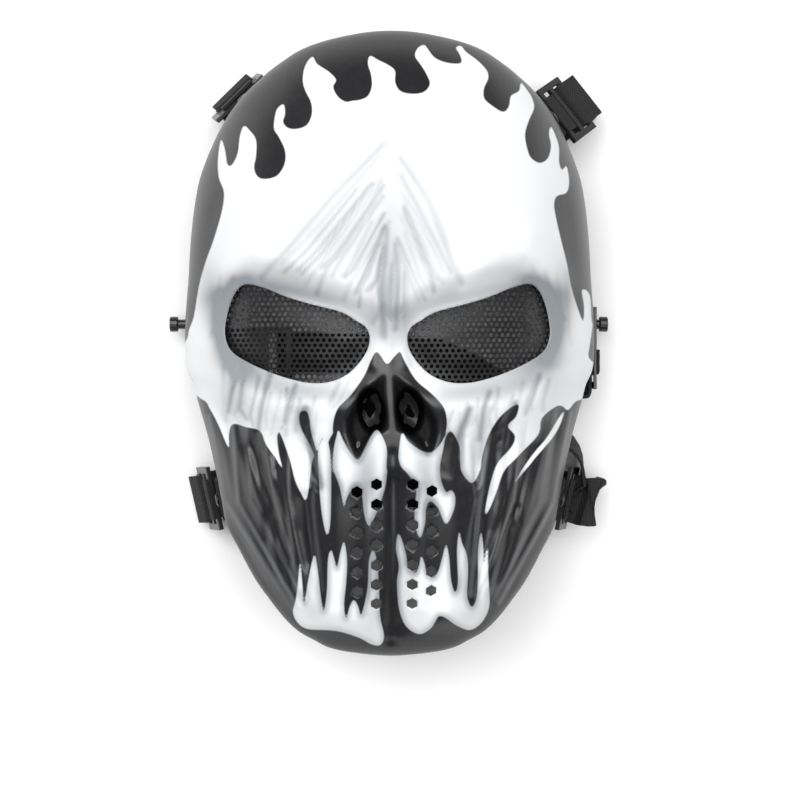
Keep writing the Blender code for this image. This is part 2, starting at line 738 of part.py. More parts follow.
# Where each strap corner sits: x and y are shares of half the width and half the height, and level is its
# height as a share of the depth. down is how many degrees its buckle leans down from level. swing is how far
# its strap goes out past the buckle and tail how long its free end is, both as shares of the buckle's depth.
Corner = namedtuple("Corner", "name x y level down swing tail")
CORNERS = (
    Corner("top_left", -0.716, 0.834, 0.300, 74.0, 0.10, 0.10),
    Corner("top_right", 0.796, 0.772, 0.300, 40.0, 0.25, 0.30),
    Corner("neck_left", -0.836, -0.538, 0.283, 70.0, 0.05, 0.30),
    Corner("neck_right", 0.836, -0.538, 0.283, 72.0, 0.05, -0.29),
)
# The slack end of the neck strap on the right. Over each row's length, a share of the strap's width, it turns
# to the row's heading (hx hy hz) while the line across the band turns to (ax ay az).
CurlRow = namedtuple("CurlRow", "length hx hy hz ax ay az")
CURL = (
    CurlRow(0.00, 0.94, -0.33, 0.20, 0.33, 0.94, 0.00),
    CurlRow(0.07, 0.94, -0.33, 0.20, 0.33, 0.94, 0.00),
    CurlRow(0.09, 0.45, 0.00, 0.88, 0.33, 0.94, 0.00),
    CurlRow(0.20, 0.20, 0.10, 0.93, 0.33, 0.94, 0.00),
    CurlRow(0.08, 0.90, 0.20, 0.00, 0.25, 0.97, 0.00),
    CurlRow(0.10, 0.00, 0.10, -1.00, 0.18, 0.98, 0.00),
    CurlRow(0.12, 0.00, 0.10, -1.00, 0.18, 0.98, 0.00),
    CurlRow(0.48, 0.08, 1.00, 0.00, 0.04, 0.00, -0.99),
    CurlRow(0.34, -0.05, 0.98, 0.00, 0.12, 0.03, -0.97),
    CurlRow(0.90, -0.95, 0.30, 0.00, 0.08, 0.35, -0.93),
    CurlRow(0.30, -0.95, 0.20, 0.00, 0.06, 0.30, -0.95),
)
CURL_STEPS = 5
TAB_RISE = 12.0
TAB_OUT = 4.5
TAB_DROP = 6.0
TAB_RETURN = 1.5
RIVET_RADIUS = 3.6
RIVET_THICK = 1.5
RIVET_BELOW_TOP = 4.5
STRAP_TURN_HEIGHT = 6.0
STRAP_RETURN = 16.0
PANEL_LIFT = 1.5


def corner_frame(corner):
    """The wall point of a strap corner, and directions out of the wall, along the rim and down the buckle."""
    here, outward, line = frame_at(corner.x * HALF_WIDTH, corner.y * HALF_HEIGHT)
    up = np.array([0.0, 0.0, 1.0])
    turn = math.radians(corner.down)
    down = outward * math.cos(turn) - up * math.sin(turn)
    normal = outward * math.sin(turn) + up * math.cos(turn)
    wall = here + outward * (GAP + STRAP_THICK / 2) + up * corner.level * SHELL_DEPTH
    start = wall + outward * TAB_OUT - up * TAB_DROP
    return wall, outward, line, down, normal, start


def corner_hardware(corner, plastic, cloth, metal):
    """Rivet, webbing tab and buckle of one strap corner. It gives the first points of the strap."""
    wall, outward, line, down, normal, start = corner_frame(corner)
    up = np.array([0.0, 0.0, 1.0])
    bar = BUCKLE_BAR
    slot = (BUCKLE_DEPTH - 3 * bar) / 2
    off = BUCKLE_THICK / 2 + GAP + 0.1 + STRAP_THICK / 2

    def local(a, b):
        return start + down * a + normal * b

    tab = bent_path(
        [
            (wall + up * TAB_RISE, 0),
            (wall, 1.5),
            (local(0.0, -off), 1.0),
            (local(bar + slot / 2, -off), 1.2),
            (local(bar + slot / 2, off), 1.2),
            (local(-TAB_RETURN, off), 0),
        ],
        3,
    )
    ribbon("tab_" + corner.name, tab, line, TAB_WIDTH, STRAP_THICK, cloth)
    rivet_base = wall + up * (TAB_RISE - RIVET_BELOW_TOP) + outward * (STRAP_THICK / 2 + GAP)
    rivet = ((0, RIVET_RADIUS), (RIVET_THICK / 2, RIVET_RADIUS), (RIVET_THICK, 0.6 * RIVET_RADIUS))
    turned_piece("rivet_" + corner.name, rivet_base, outward, rivet, 12, metal)
    slots = (
        (bar, bar + slot, BUCKLE_LENGTH - 2 * bar),
        (2 * bar + slot, 2 * bar + 2 * slot, BUCKLE_LENGTH - 2 * bar),
    )
    size = (BUCKLE_DEPTH, BUCKLE_LENGTH, BUCKLE_THICK)
    slotted_plate("buckle_" + corner.name, start, down, line, *size, slots, plastic)
    through = 2 * bar + 1.5 * slot
    return [
        (local(BUCKLE_DEPTH * (1 + corner.tail), off + PANEL_LIFT), 0),
        (local(through, off), 1.2),
        (local(through, -off), 1.2),
        (local(BUCKLE_DEPTH + 1.0, -off), 1.5),
    ]


def floor_run(corner):
    """The strap's way from the buckle down to the floor and in under the raised rim."""
    wall, outward, line, down, normal, start = corner_frame(corner)
    low = start + down * (BUCKLE_DEPTH + 1.0)
    swing = low + outward * corner.swing * BUCKLE_DEPTH
    turn = (swing[0], swing[1], STRAP_TURN_HEIGHT)
    land = swing + outward * 1.0
    inside = wall - outward * STRAP_RETURN
    return [
        (turn, 2.0),
        ((land[0], land[1], STRAP_THICK / 2), 2.5),
        ((inside[0], inside[1], STRAP_THICK / 2), 8.0),
    ]


def curl_turn(row):
    """The turn of a band that has this row's heading."""
    heading = Vector((row.hx, row.hy, row.hz)).normalized()
    across = Vector((row.ax, row.ay, row.az))
    across = (across - heading * across.dot(heading)).normalized()
    return Matrix((heading, across, heading.cross(across))).transposed().to_quaternion()


def curled_end(start):
    """Points and width directions of the slack strap end, from the buckle on."""
    path = [np.asarray(start, float)]
    across = [np.array(curl_turn(CURL[0]).to_matrix().col[1])]
    for first, last in zip(CURL[:-1], CURL[1:]):
        step = last.length * STRAP_WIDTH / CURL_STEPS
        for k in range(CURL_STEPS):
            middle = curl_turn(first).slerp(curl_turn(last), (k + 0.5) / CURL_STEPS).to_matrix()
            after = curl_turn(first).slerp(curl_turn(last), (k + 1) / CURL_STEPS).to_matrix()
            path.append(path[-1] + np.array(middle.col[0]) * step)
            across.append(np.array(after.col[1]))
    return path, across


def make_cross_strap(name, left, right, plastic, cloth, metal, curled=False):
    """One strap with both its corners. It lies flat on the floor across the hollow of the mask."""
    first = corner_hardware(left, plastic, cloth, metal) + floor_run(left)
    second = corner_hardware(right, plastic, cloth, metal) + floor_run(right)
    left_line = corner_frame(left)[2]
    right_line = -corner_frame(right)[2]
    start_path = bent_path(first + [second[-1]], 4)[:-1]
    end_path = bent_path(second + [first[-1]], 4)[:-1][::-1]
    path = start_path + end_path
    widths = [left_line] * len(start_path) + [right_line] * len(end_path)
    flat_from = len(start_path)
    middle_count = 4
    inner = []
    inner_widths = []
    for k in range(1, middle_count + 1):
        t = k / (middle_count + 1)
        inner.append(start_path[-1] * (1 - t) + end_path[0] * t)
        inner_widths.append(left_line * (1 - t) + right_line * t)
    path = start_path + inner + end_path
    widths = widths[:flat_from] + inner_widths + widths[flat_from:]
    if curled:
        slack, across = curled_end(path[-1])
        path += slack[1:]
        widths += [-direction for direction in across[1:]]
    return ribbon(name, path, widths, STRAP_WIDTH - 1.0, STRAP_THICK, cloth)


STUD_Y = 10.0
STUD_Z = 14.0
HOOK_LENGTH = 41.0
HOOK_WIDTH = 25.0
HOOK_THICK = 1.6
HOOK_HOLE_AT = 8.5
HOOK_HOLE = 2 * STUD_SHANK_RADIUS + 2 * GAP + 0.4
HOOK_SLOT = 8.5
HOOK_BAR = 3.5
SIDE_TAIL = 12.0
TWIST_LIFT = 0.6
TWIST_STEPS = 10


def stud_seat():
    """How far out each stud's foot sits: one gap off the side wall, which leans in towards the rim."""
    line = outline_points()
    beside = np.abs(line[:, 1] - STUD_Y) < STUD_BASE_RADIUS
    edge = float(edge_height(STUD_Y))
    lean = RIM_TUCK * (edge - STUD_Z - STUD_BASE_RADIUS) / edge
    return float(line[beside, 0].max()) - lean + GAP


def make_studs(plastic):
    """The two headed side studs."""
    for name, side in (("left", -1), ("right", 1)):
        base = np.array([side * stud_seat(), STUD_Y, STUD_Z])
        neck = STUD_STAND - STUD_HEAD_THICK
        profile = (
            (0.0, STUD_BASE_RADIUS),
            (STUD_BASE_THICK - 0.1, STUD_BASE_RADIUS),
            (STUD_BASE_THICK, STUD_SHANK_RADIUS),
            (neck, STUD_SHANK_RADIUS),
            (neck + 0.1, STUD_HEAD_RADIUS),
            (STUD_STAND, STUD_HEAD_RADIUS),
        )
        turned_piece("stud_" + name, base, (side, 0, 0), profile, 16, plastic)


def make_side_strap(plastic, cloth):
    """The plate hung on the right stud, and its strap with a second plate at its free end."""
    up = np.array([0.0, 0.0, 1.0])
    flat = np.array([0.0, 1.0, 0.0])
    slots = (
        (HOOK_HOLE_AT - HOOK_HOLE / 2, HOOK_HOLE_AT + HOOK_HOLE / 2, HOOK_HOLE),
        (HOOK_LENGTH - HOOK_BAR - HOOK_SLOT, HOOK_LENGTH - HOOK_BAR, SIDE_STRAP_WIDTH + 2.0),
    )
    plate = (HOOK_LENGTH, HOOK_WIDTH, HOOK_THICK, slots, plastic)
    plate_x = stud_seat() + STUD_BASE_THICK + GAP + HOOK_THICK / 2
    top = np.array([plate_x, STUD_Y + HOOK_HOLE_AT, STUD_Z])
    slotted_plate("hook_plate_right", top, -flat, up, *plate)
    rest_z = HOOK_THICK / 2 + STRAP_THICK + GAP + 0.1
    free_top = np.array([-0.9 * HALF_WIDTH, -0.03 * HALF_HEIGHT, rest_z])
    slotted_plate("hook_plate_left", free_top, np.array([1.0, 0.0, 0.0]), flat, *plate)
    off = HOOK_THICK / 2 + GAP + 0.1 + STRAP_THICK / 2
    bar_y = STUD_Y + HOOK_HOLE_AT - HOOK_LENGTH
    through_y = bar_y + HOOK_BAR + HOOK_SLOT / 2
    low_z = STRAP_THICK / 2
    corners = [
        ((plate_x + off, through_y + SIDE_TAIL, STUD_Z), 0),
        ((plate_x + off, through_y, STUD_Z), 1.2),
        ((plate_x - off, through_y, STUD_Z), 1.2),
        ((plate_x - off, bar_y - 1.0, STUD_Z), 1.0),
        ((plate_x - off - 1.0, bar_y - 4.0, STUD_Z), 1.4),
        ((0.8 * HALF_WIDTH, bar_y - 4.5, STUD_Z), 6.0),
        ((0.6 * HALF_WIDTH, -0.124 * HALF_HEIGHT, STUD_Z), 0),
    ]
    path = bent_path(corners, 3)[:-1]
    widths = [up] * len(path)
    last = path[-1]
    end = np.array([0.2 * HALF_WIDTH, -0.041 * HALF_HEIGHT, low_z + TWIST_LIFT])
    for k in range(1, TWIST_STEPS + 1):
        t = k / TWIST_STEPS
        turn = math.radians(90 * float(smooth_step(t)))
        needed = SIDE_STRAP_WIDTH / 2 * math.cos(turn) + low_z + math.sin(2 * turn) + TWIST_LIFT
        place = last * (1 - t) + end * t
        place[2] = max(needed, place[2] if t < 0.5 else 0.0)
        path.append(place)
        widths.append(flat * math.sin(turn) + up * math.cos(turn))
    slot_x = free_top[0] + HOOK_LENGTH - HOOK_BAR - HOOK_SLOT / 2
    turn_in = (slot_x + 0.16 * HALF_WIDTH, free_top[1], low_z)
    tail = bent_path([(path[-1], 0), (turn_in, 4.0), ((slot_x, free_top[1], low_z), 0)], 2)[1:]
    ribbon("strap_side", path + tail, widths + [flat] * len(tail), SIDE_STRAP_WIDTH, STRAP_THICK, cloth)


def main():
    for old in list(bpy.data.objects):
        bpy.data.objects.remove(old, do_unlink=True)
    shell_plastic = make_material("shell_plastic", (0.80, 0.80, 0.80), 0.45)
    plastic = make_material("buckle_plastic", (0.02, 0.02, 0.02), 0.4)
    steel = make_material("lens_steel", (0.03, 0.03, 0.03), 0.4, 0.6)
    rivet_metal = make_material("rivet_metal", (0.03, 0.03, 0.03), 0.35, 0.6)
    cloth = make_material("webbing", (0.02, 0.02, 0.02), 0.9)
    make_shell(shell_plastic)
    make_lens("eye_mesh_left", -1, steel)
    make_lens("eye_mesh_right", 1, steel)
    make_cross_strap("strap_top", CORNERS[0], CORNERS[1], plastic, cloth, rivet_metal)
    make_cross_strap("strap_neck", CORNERS[2], CORNERS[3], plastic, cloth, rivet_metal, curled=True)
    make_studs(plastic)
    make_side_strap(plastic, cloth)


main()
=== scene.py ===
"""Looks of the skull mask: the painted shell in full detail, pierced lenses, hardware, straps and a floor."""

import math
from collections import namedtuple

import bmesh
import bpy
import numpy as np
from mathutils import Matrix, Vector
from mathutils.geometry import delaunay_2d_cdt


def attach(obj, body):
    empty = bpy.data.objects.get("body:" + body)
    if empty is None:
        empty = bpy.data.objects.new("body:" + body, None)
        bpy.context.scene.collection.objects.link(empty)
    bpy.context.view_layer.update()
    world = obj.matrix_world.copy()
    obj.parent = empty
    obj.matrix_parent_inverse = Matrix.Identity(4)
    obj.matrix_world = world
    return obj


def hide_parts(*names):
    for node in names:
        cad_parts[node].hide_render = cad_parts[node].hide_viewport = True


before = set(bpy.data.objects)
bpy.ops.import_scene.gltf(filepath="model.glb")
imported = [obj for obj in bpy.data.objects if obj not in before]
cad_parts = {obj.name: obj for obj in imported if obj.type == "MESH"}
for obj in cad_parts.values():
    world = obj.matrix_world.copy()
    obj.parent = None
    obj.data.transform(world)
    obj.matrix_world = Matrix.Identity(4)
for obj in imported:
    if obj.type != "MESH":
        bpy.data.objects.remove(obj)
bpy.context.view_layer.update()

def table(row, *values):
    """The rows of a table, each with the named columns of this kind of row."""
    return tuple(row(*each) for each in values)


# The sizes, tables and formulas down to grid_points are the part's own, so that the dressed shell keeps the
# solid's form. Sizes of the shell, in millimetres.
SHELL_HEIGHT = 290.0
SHELL_WIDTH = 201.0
SHELL_DEPTH = 127.0
SHELL_WALL = 3.0
RIM_TUCK = 1.5

# Sizes of the openings.
EYE_LENGTH = 67.5
EYE_HEIGHT = 44.5
HEX_HOLE_FLATS = 4.8
HEX_HOLE_PITCH = 9.1
LENS_FLANGE = 4.0
LENS_BULGE = 2.5

MILLIMETRE = 0.001
SAME_PLACE = 1e-7
FAR_AWAY = 1e9
TINY = 1e-9
SMALL_SHARE = 1e-6
OUTLINE_STEPS = 8
HALF_HEIGHT = SHELL_HEIGHT / 2
HALF_WIDTH = SHELL_WIDTH / 2

# The outline from the front. y and the rim row are shares of half the height and of the depth. half_width
# is a share of half the width. edge is where the front turns into the side wall, as a share of the depth.
OutlineRow = namedtuple("OutlineRow", "y half_width edge")
OUTLINE = table(
    OutlineRow,
    (1.000, 0.000, 0.630),
    (0.993, 0.140, 0.628),
    (0.970, 0.302, 0.622),
    (0.944, 0.418, 0.600),
    (0.910, 0.505, 0.578),
    (0.866, 0.597, 0.545),
    (0.799, 0.708, 0.497),
    (0.710, 0.811, 0.420),
    (0.584, 0.903, 0.346),
    (0.486, 0.942, 0.315),
    (0.353, 0.969, 0.285),
    (0.217, 0.983, 0.276),
    (0.081, 0.999, 0.276),
    (-0.021, 1.000, 0.276),
    (-0.088, 0.990, 0.280),
    (-0.139, 0.957, 0.284),
    (-0.190, 0.936, 0.291),
    (-0.290, 0.891, 0.315),
    (-0.357, 0.864, 0.339),
    (-0.438, 0.835, 0.370),
    (-0.518, 0.808, 0.409),
    (-0.597, 0.779, 0.449),
    (-0.672, 0.717, 0.488),
    (-0.763, 0.640, 0.520),
    (-0.828, 0.569, 0.543),
    (-0.886, 0.497, 0.567),
    (-0.926, 0.430, 0.583),
    (-0.953, 0.357, 0.591),
    (-0.975, 0.290, 0.598),
    (-0.990, 0.180, 0.604),
    (-1.000, 0.000, 0.606),
)

# The middle line in profile. height is a share of the depth, and fall is how far the face drops at full
# half width.
ProfileRow = namedtuple("ProfileRow", "y height fall")
PROFILE = table(
    ProfileRow,
    (1.00, 0.780, 0.42),
    (0.90, 0.850, 0.44),
    (0.76, 0.915, 0.46),
    (0.55, 0.970, 0.48),
    (0.35, 0.985, 0.49),
    (0.15, 0.950, 0.50),
    (0.00, 0.925, 0.50),
    (-0.20, 0.915, 0.50),
    (-0.42, 0.895, 0.55),
    (-0.62, 0.870, 0.60),
    (-0.80, 0.830, 0.62),
    (-0.90, 0.780, 0.58),
    (-1.00, 0.700, 0.50),
)

# The rear rim. It stands on the floor where rise is 0. y and rise are shares of half the height and of
# the depth.
RimRow = namedtuple("RimRow", "y rise")
RIM = table(
    RimRow,
    (1.000, 0.230),
    (0.930, 0.210),
    (0.680, 0.190),
    (0.620, 0.000),
    (-0.035, 0.000),
    (-0.070, 0.215),
    (-0.640, 0.215),
    (-0.690, 0.000),
    (-0.790, 0.000),
    (-0.850, 0.190),
    (-1.000, 0.230),
)

# The eye opening, walked round from its inner end. Both columns are shares of its length and height.
EyeRow = namedtuple("EyeRow", "along up")
EYE = table(
    EyeRow,
    (0.000, 0.060),
    (0.025, 0.165),
    (0.090, 0.232),
    (0.190, 0.318),
    (0.380, 0.396),
    (0.545, 0.472),
    (0.700, 0.567),
    (0.825, 0.614),
    (0.895, 0.565),
    (0.945, 0.453),
    (0.982, 0.296),
    (1.000, 0.138),
    (0.982, 0.000),
    (0.930, -0.100),
    (0.825, -0.191),
    (0.685, -0.281),
    (0.550, -0.347),
    (0.410, -0.389),
    (0.277, -0.382),
    (0.160, -0.314),
    (0.077, -0.202),
    (0.018, -0.067),
)
EYE_INNER_X = 8.3

# The nose cavity, from its top, down one side to the foot of its lobe and back to the septum. Shares of
# half the width and of half the height.
NoseRow = namedtuple("NoseRow", "x y")
NOSE = table(
    NoseRow,
    (0.026, -0.103),
    (0.078, -0.128),
    (0.125, -0.158),
    (0.170, -0.197),
    (0.197, -0.232),
    (0.197, -0.272),
    (0.182, -0.307),
    (0.160, -0.340),
    (0.135, -0.322),
    (0.105, -0.300),
    (0.068, -0.270),
    (0.026, -0.258),
)
NOSE_DEPTH = 7.0
NOSTRIL_DEPTH = 8.0

# The breath holes: x of each column as a share of half the width, its first hole as a share of half the
# height.
HoleColumn = namedtuple("HoleColumn", "x first_y count")
HOLE_COLUMNS = table(
    HoleColumn,
    (-0.158, -0.452, 6),
    (-0.072, -0.428, 7),
    (0.088, -0.428, 7),
    (0.172, -0.449, 6),
)

# How far the middle of the face leans from the middle of the shell, in millimetres, by height share.
LeanRow = namedtuple("LeanRow", "y lean")
LEAN = table(
    LeanRow,
    (-1.00, 0.8),
    (-0.42, 0.8),
    (-0.25, -0.5),
    (-0.13, -1.7),
    (0.05, -2.0),
    (1.00, 0.0),
)

# The raised and sunk folds of one side of the face, each a bent line of three points. The points are
# shares of half the width and half the height, and width and rise are millimetres across and out of the
# face.
Fold = namedtuple("Fold", "name x0 y0 x1 y1 x2 y2 width rise")
FOLDS = table(
    Fold,
    ("frown ridge", 0.040, 0.560, 0.230, 0.400, 0.500, 0.240, 6.0, 1.6),
    ("inner brow", 0.060, 0.120, 0.200, 0.190, 0.420, 0.240, 8.0, 3.0),
    ("outer brow", 0.420, 0.250, 0.620, 0.290, 0.780, 0.200, 8.0, 3.4),
    ("temple hollow", 0.800, 0.420, 0.840, 0.250, 0.850, 0.080, 10.0, -2.2),
    ("bridge side", 0.045, 0.200, 0.050, 0.080, 0.070, -0.060, 3.2, 1.6),
    ("cheekbone", 0.240, -0.160, 0.520, -0.190, 0.800, -0.110, 9.0, 3.2),
    ("under cheekbone", 0.330, -0.330, 0.600, -0.330, 0.820, -0.220, 10.0, -3.6),
    ("cheek slit", 0.400, -0.480, 0.410, -0.580, 0.380, -0.680, 3.6, -2.6),
    ("cheek slit upper", 0.440, -0.210, 0.420, -0.300, 0.360, -0.420, 3.0, -2.0),
    ("jaw fibre inner", 0.560, -0.360, 0.480, -0.540, 0.430, -0.760, 4.0, 2.0),
    ("jaw fibre middle", 0.700, -0.330, 0.600, -0.520, 0.500, -0.740, 4.0, 1.8),
    ("jaw fibre outer", 0.830, -0.300, 0.730, -0.520, 0.590, -0.740, 4.5, 1.6),
    ("jaw fibre valley", 0.640, -0.330, 0.550, -0.520, 0.470, -0.740, 3.0, -1.6),
    ("upper lip", 0.080, -0.400, 0.240, -0.400, 0.330, -0.330, 6.0, 1.8),
    ("tooth ridge inner", 0.125, -0.420, 0.125, -0.600, 0.125, -0.820, 3.6, 1.2),
    ("tooth ridge outer", 0.260, -0.420, 0.260, -0.600, 0.250, -0.820, 5.0, 1.6),
    ("chin corner", 0.190, -0.860, 0.300, -0.860, 0.370, -0.820, 7.0, 2.4),
)
MOUTH_GROOVE_DEPTH = 2.6
MOUTH_GROOVE_WIDTH = 5.0
SOCKET_DEPTH = 4.5
SOCKET_REACH = 14.0
NOSE_LIP = 3.5
NOSE_SLOPE = 5.0
MOUTH_TOP = -0.37
MOUTH_FOOT = -0.93
MOUTH_FADE = 8.0
EDGE_POWER = 8.0
EDGE_ROUND = 2.2
DOME_POWER = 2.2
EDGE_BLEND_FROM = 0.3
EDGE_BLEND_OVER = 0.5
EDGE_RELIEF_FADE = 0.14
INNER_RELIEF_SHARE = 0.85


def soft_curve(at, known, values):
    """Values between the rows of a table, on a smooth curve through them."""
    order = np.argsort(known)
    xs = np.asarray(known, float)[order]
    ys = np.asarray(values, float)[order]
    slopes = np.gradient(ys, xs)
    at = np.clip(np.asarray(at, float), xs[0], xs[-1])
    low = np.clip(np.searchsorted(xs, at) - 1, 0, len(xs) - 2)
    step = xs[low + 1] - xs[low]
    t = (at - xs[low]) / step
    rise = ys[low + 1] - ys[low]
    first = slopes[low] * step
    last = slopes[low + 1] * step
    square = 3 * rise - 2 * first - last
    cube = first + last - 2 * rise
    return ys[low] + t * first + t**2 * square + t**3 * cube


def straight_curve(at, known, values):
    """Values between the rows of a table, on straight lines."""
    order = np.argsort(known)
    return np.interp(at, np.asarray(known, float)[order], np.asarray(values, float)[order])


def smooth_step(t):
    t = np.clip(t, 0.0, 1.0)
    return t * t * (3 - 2 * t)


def closed_spline(points, steps):
    """A smooth closed line through the points, with this many points from each to the next."""
    points = np.asarray(points, float)
    before = np.roll(points, 1, axis=0)
    after = np.roll(points, -1, axis=0)
    later = np.roll(points, -2, axis=0)
    rows = []
    for step in range(steps):
        t = step / steps
        bend = (2 * before - 5 * points + 4 * after - later) * t**2
        turn = (3 * points - before - 3 * after + later) * t**3
        rows.append(0.5 * (2 * points + (after - before) * t + bend + turn))
    return np.stack(rows, axis=1).reshape(-1, 2)


def outline_points():
    right = [(row.half_width * HALF_WIDTH, row.y * HALF_HEIGHT) for row in OUTLINE]
    left = [(-x, y) for x, y in reversed(right[1:-1])]
    return closed_spline(right + left, OUTLINE_STEPS)


SHELL_LINE = outline_points()
LINE_ANGLES = np.arctan2(SHELL_LINE[:, 1], SHELL_LINE[:, 0])
LINE_ORDER = np.argsort(LINE_ANGLES)
LINE_RADII = np.hypot(SHELL_LINE[:, 0], SHELL_LINE[:, 1])


def outline_radius(angle):
    """Distance of the outline from the middle, in this direction."""
    return np.interp(angle, LINE_ANGLES[LINE_ORDER], LINE_RADII[LINE_ORDER], period=2 * math.pi)


def edge_height(y):
    return SHELL_DEPTH * soft_curve(y / HALF_HEIGHT, [r.y for r in OUTLINE], [r.edge for r in OUTLINE])


def rim_height(y):
    return SHELL_DEPTH * straight_curve(y / HALF_HEIGHT, [r.y for r in RIM], [r.rise for r in RIM])


def face_lean(y):
    return soft_curve(y / HALF_HEIGHT, [r.y for r in LEAN], [r.lean for r in LEAN])


def distance_to_line(x, y, points):
    """Distance of each place from a bent line."""
    best = np.full(np.shape(x), FAR_AWAY)
    for (ax, ay), (bx, by) in zip(points[:-1], points[1:]):
        dx = bx - ax
        dy = by - ay
        t = np.clip(((x - ax) * dx + (y - ay) * dy) / (dx * dx + dy * dy + TINY), 0, 1)
        best = np.minimum(best, np.hypot(x - ax - t * dx, y - ay - t * dy))
    return best


def inside_loop(x, y, loop):
    """Whether each place is inside a closed line."""
    found = np.zeros(np.shape(x), bool)
    ends = np.roll(loop, -1, axis=0)
    for (ax, ay), (bx, by) in zip(loop, ends):
        crosses = (ay > y) != (by > y)
        with np.errstate(divide="ignore", invalid="ignore"):
            at = ax + (y - ay) * (bx - ax) / (by - ay)
        found ^= crosses & (x < at)
    return found


def outside_by(x, y, loop):
    """Distance out of a closed line, and minus the distance inside it."""
    away = distance_to_line(x, y, np.vstack([loop, loop[:1]]))
    return np.where(inside_loop(x, y, loop), -away, away)


EYE_LOOP = np.array([(EYE_INNER_X + r.along * EYE_LENGTH, r.up * EYE_HEIGHT) for r in EYE])
NOSE_LOOP = np.array([(r.x * HALF_WIDTH, r.y * HALF_HEIGHT) for r in NOSE])
NOSTRIL_X = 0.085 * HALF_WIDTH
NOSTRIL_Y = -0.205 * HALF_HEIGHT
NOSTRIL_HALF_WIDTH = 5.2
NOSTRIL_HALF_HEIGHT = 8.5
NOSTRIL_FLOOR = 0.55
NOSTRIL_SLOPE = 0.7


def bent_line(row):
    return [(row.x0, row.y0), (row.x1, row.y1), (row.x2, row.y2)]


def relief(x, y):
    """How far the face stands out of the plain dome, at each place."""
    across = np.abs(x - face_lean(y))
    out = np.zeros(np.shape(x))
    for fold in FOLDS:
        line = [(a * HALF_WIDTH, b * HALF_HEIGHT) for a, b in bent_line(fold)]
        away = distance_to_line(across, y, line)
        out = out + fold.rise * np.exp(-((away / fold.width) ** 2))
    socket = np.maximum(outside_by(across, y, EYE_LOOP), 0)
    out = out - SOCKET_DEPTH * (1 - smooth_step(socket / SOCKET_REACH))
    nose = outside_by(across, y, NOSE_LOOP)
    out = out - NOSE_DEPTH * (1 - smooth_step((nose + NOSE_LIP) / NOSE_SLOPE))
    nostril = np.hypot((across - NOSTRIL_X) / NOSTRIL_HALF_WIDTH, (y - NOSTRIL_Y) / NOSTRIL_HALF_HEIGHT)
    out = out - NOSTRIL_DEPTH * (1 - smooth_step((nostril - NOSTRIL_FLOOR) / NOSTRIL_SLOPE))
    under = smooth_step((MOUTH_TOP * HALF_HEIGHT - y) / MOUTH_FADE)
    in_mouth = under * smooth_step((y - MOUTH_FOOT * HALF_HEIGHT) / MOUTH_FADE)
    out = out - MOUTH_GROOVE_DEPTH * np.exp(-((across / MOUTH_GROOVE_WIDTH) ** 2)) * in_mouth
    return out


def face_height(x, y, inner=False):
    """Height of the front skin above the floor. The inner skin lies one wall inside the outer one."""
    radius = outline_radius(np.arctan2(y, x))
    wall = SHELL_WALL if inner else 0.0
    share = np.clip(np.hypot(x, y) / (radius - wall), 0, 1)
    edge_y = np.clip(y / np.maximum(share, SMALL_SHARE), -HALF_HEIGHT, HALF_HEIGHT)
    edge = edge_height(np.where(share > EDGE_BLEND_FROM, edge_y, y))
    level = y / HALF_HEIGHT
    middle = SHELL_DEPTH * soft_curve(level, [r.y for r in PROFILE], [r.height for r in PROFILE])
    fall = SHELL_DEPTH * soft_curve(level, [r.y for r in PROFILE], [r.fall for r in PROFILE])
    dome = middle - fall * (np.abs(x) / HALF_WIDTH) ** DOME_POWER - wall
    turn = (1 - share**EDGE_POWER) ** (1 / EDGE_ROUND)
    kept = smooth_step((1 - share) / EDGE_RELIEF_FADE)
    relief_share = INNER_RELIEF_SHARE if inner else 1.0
    blend = smooth_step((share - EDGE_BLEND_FROM) / EDGE_BLEND_OVER)
    edge = edge * blend + (1 - blend) * edge_height(y)
    return edge + (dome - edge) * turn + relief_share * relief(x, y) * kept


def hexagon(x, y, radius):
    turns = [math.pi / 3 * k + math.pi / 6 for k in range(6)]
    return np.array([(x + radius * math.cos(turn), y + radius * math.sin(turn)) for turn in turns])


def eye_contour(side, steps=2):
    loop = closed_spline(EYE_LOOP, steps)
    placed = np.column_stack([side * loop[:, 0] + face_lean(loop[:, 1]), loop[:, 1]])
    return placed if side > 0 else placed[::-1]


def breath_holes():
    radius = HEX_HOLE_FLATS / math.sqrt(3)
    loops = []
    for column in HOLE_COLUMNS:
        for k in range(column.count):
            y = column.first_y * HALF_HEIGHT - k * HEX_HOLE_PITCH
            loops.append(hexagon(column.x * HALF_WIDTH, y, radius))
    return loops


def filled_plate(loops, free_points):
    """A flat net of triangles inside the first loop and outside the others, with the indices of each loop."""
    points = []
    edges = []
    spans = []
    for loop in loops:
        start = len(points)
        points.extend((float(x), float(y)) for x, y in loop)
        spans.append(list(range(start, len(points))))
        edges.extend((start + k, start + (k + 1) % len(loop)) for k in range(len(loop)))
    points.extend((float(x), float(y)) for x, y in free_points)
    found = delaunay_2d_cdt(points, edges, [], 0, SAME_PLACE)
    placed = np.array([(v[0], v[1]) for v in found[0]])
    new_index = {}
    for new, olds in enumerate(found[3]):
        for old in olds:
            new_index[old] = new
    triangles = np.array(found[2])
    centres = placed[triangles].mean(axis=1)
    keep = inside_loop(centres[:, 0], centres[:, 1], loops[0])
    for loop in loops[1:]:
        keep &= ~inside_loop(centres[:, 0], centres[:, 1], loop)
    triangles = triangles[keep]
    a, b, c = placed[triangles[:, 0]], placed[triangles[:, 1]], placed[triangles[:, 2]]
    area = (b[:, 0] - a[:, 0]) * (c[:, 1] - a[:, 1]) - (b[:, 1] - a[:, 1]) * (c[:, 0] - a[:, 0])
    triangles[area < 0] = triangles[area < 0][:, ::-1]
    return placed, triangles, [[new_index[k] for k in span] for span in spans]


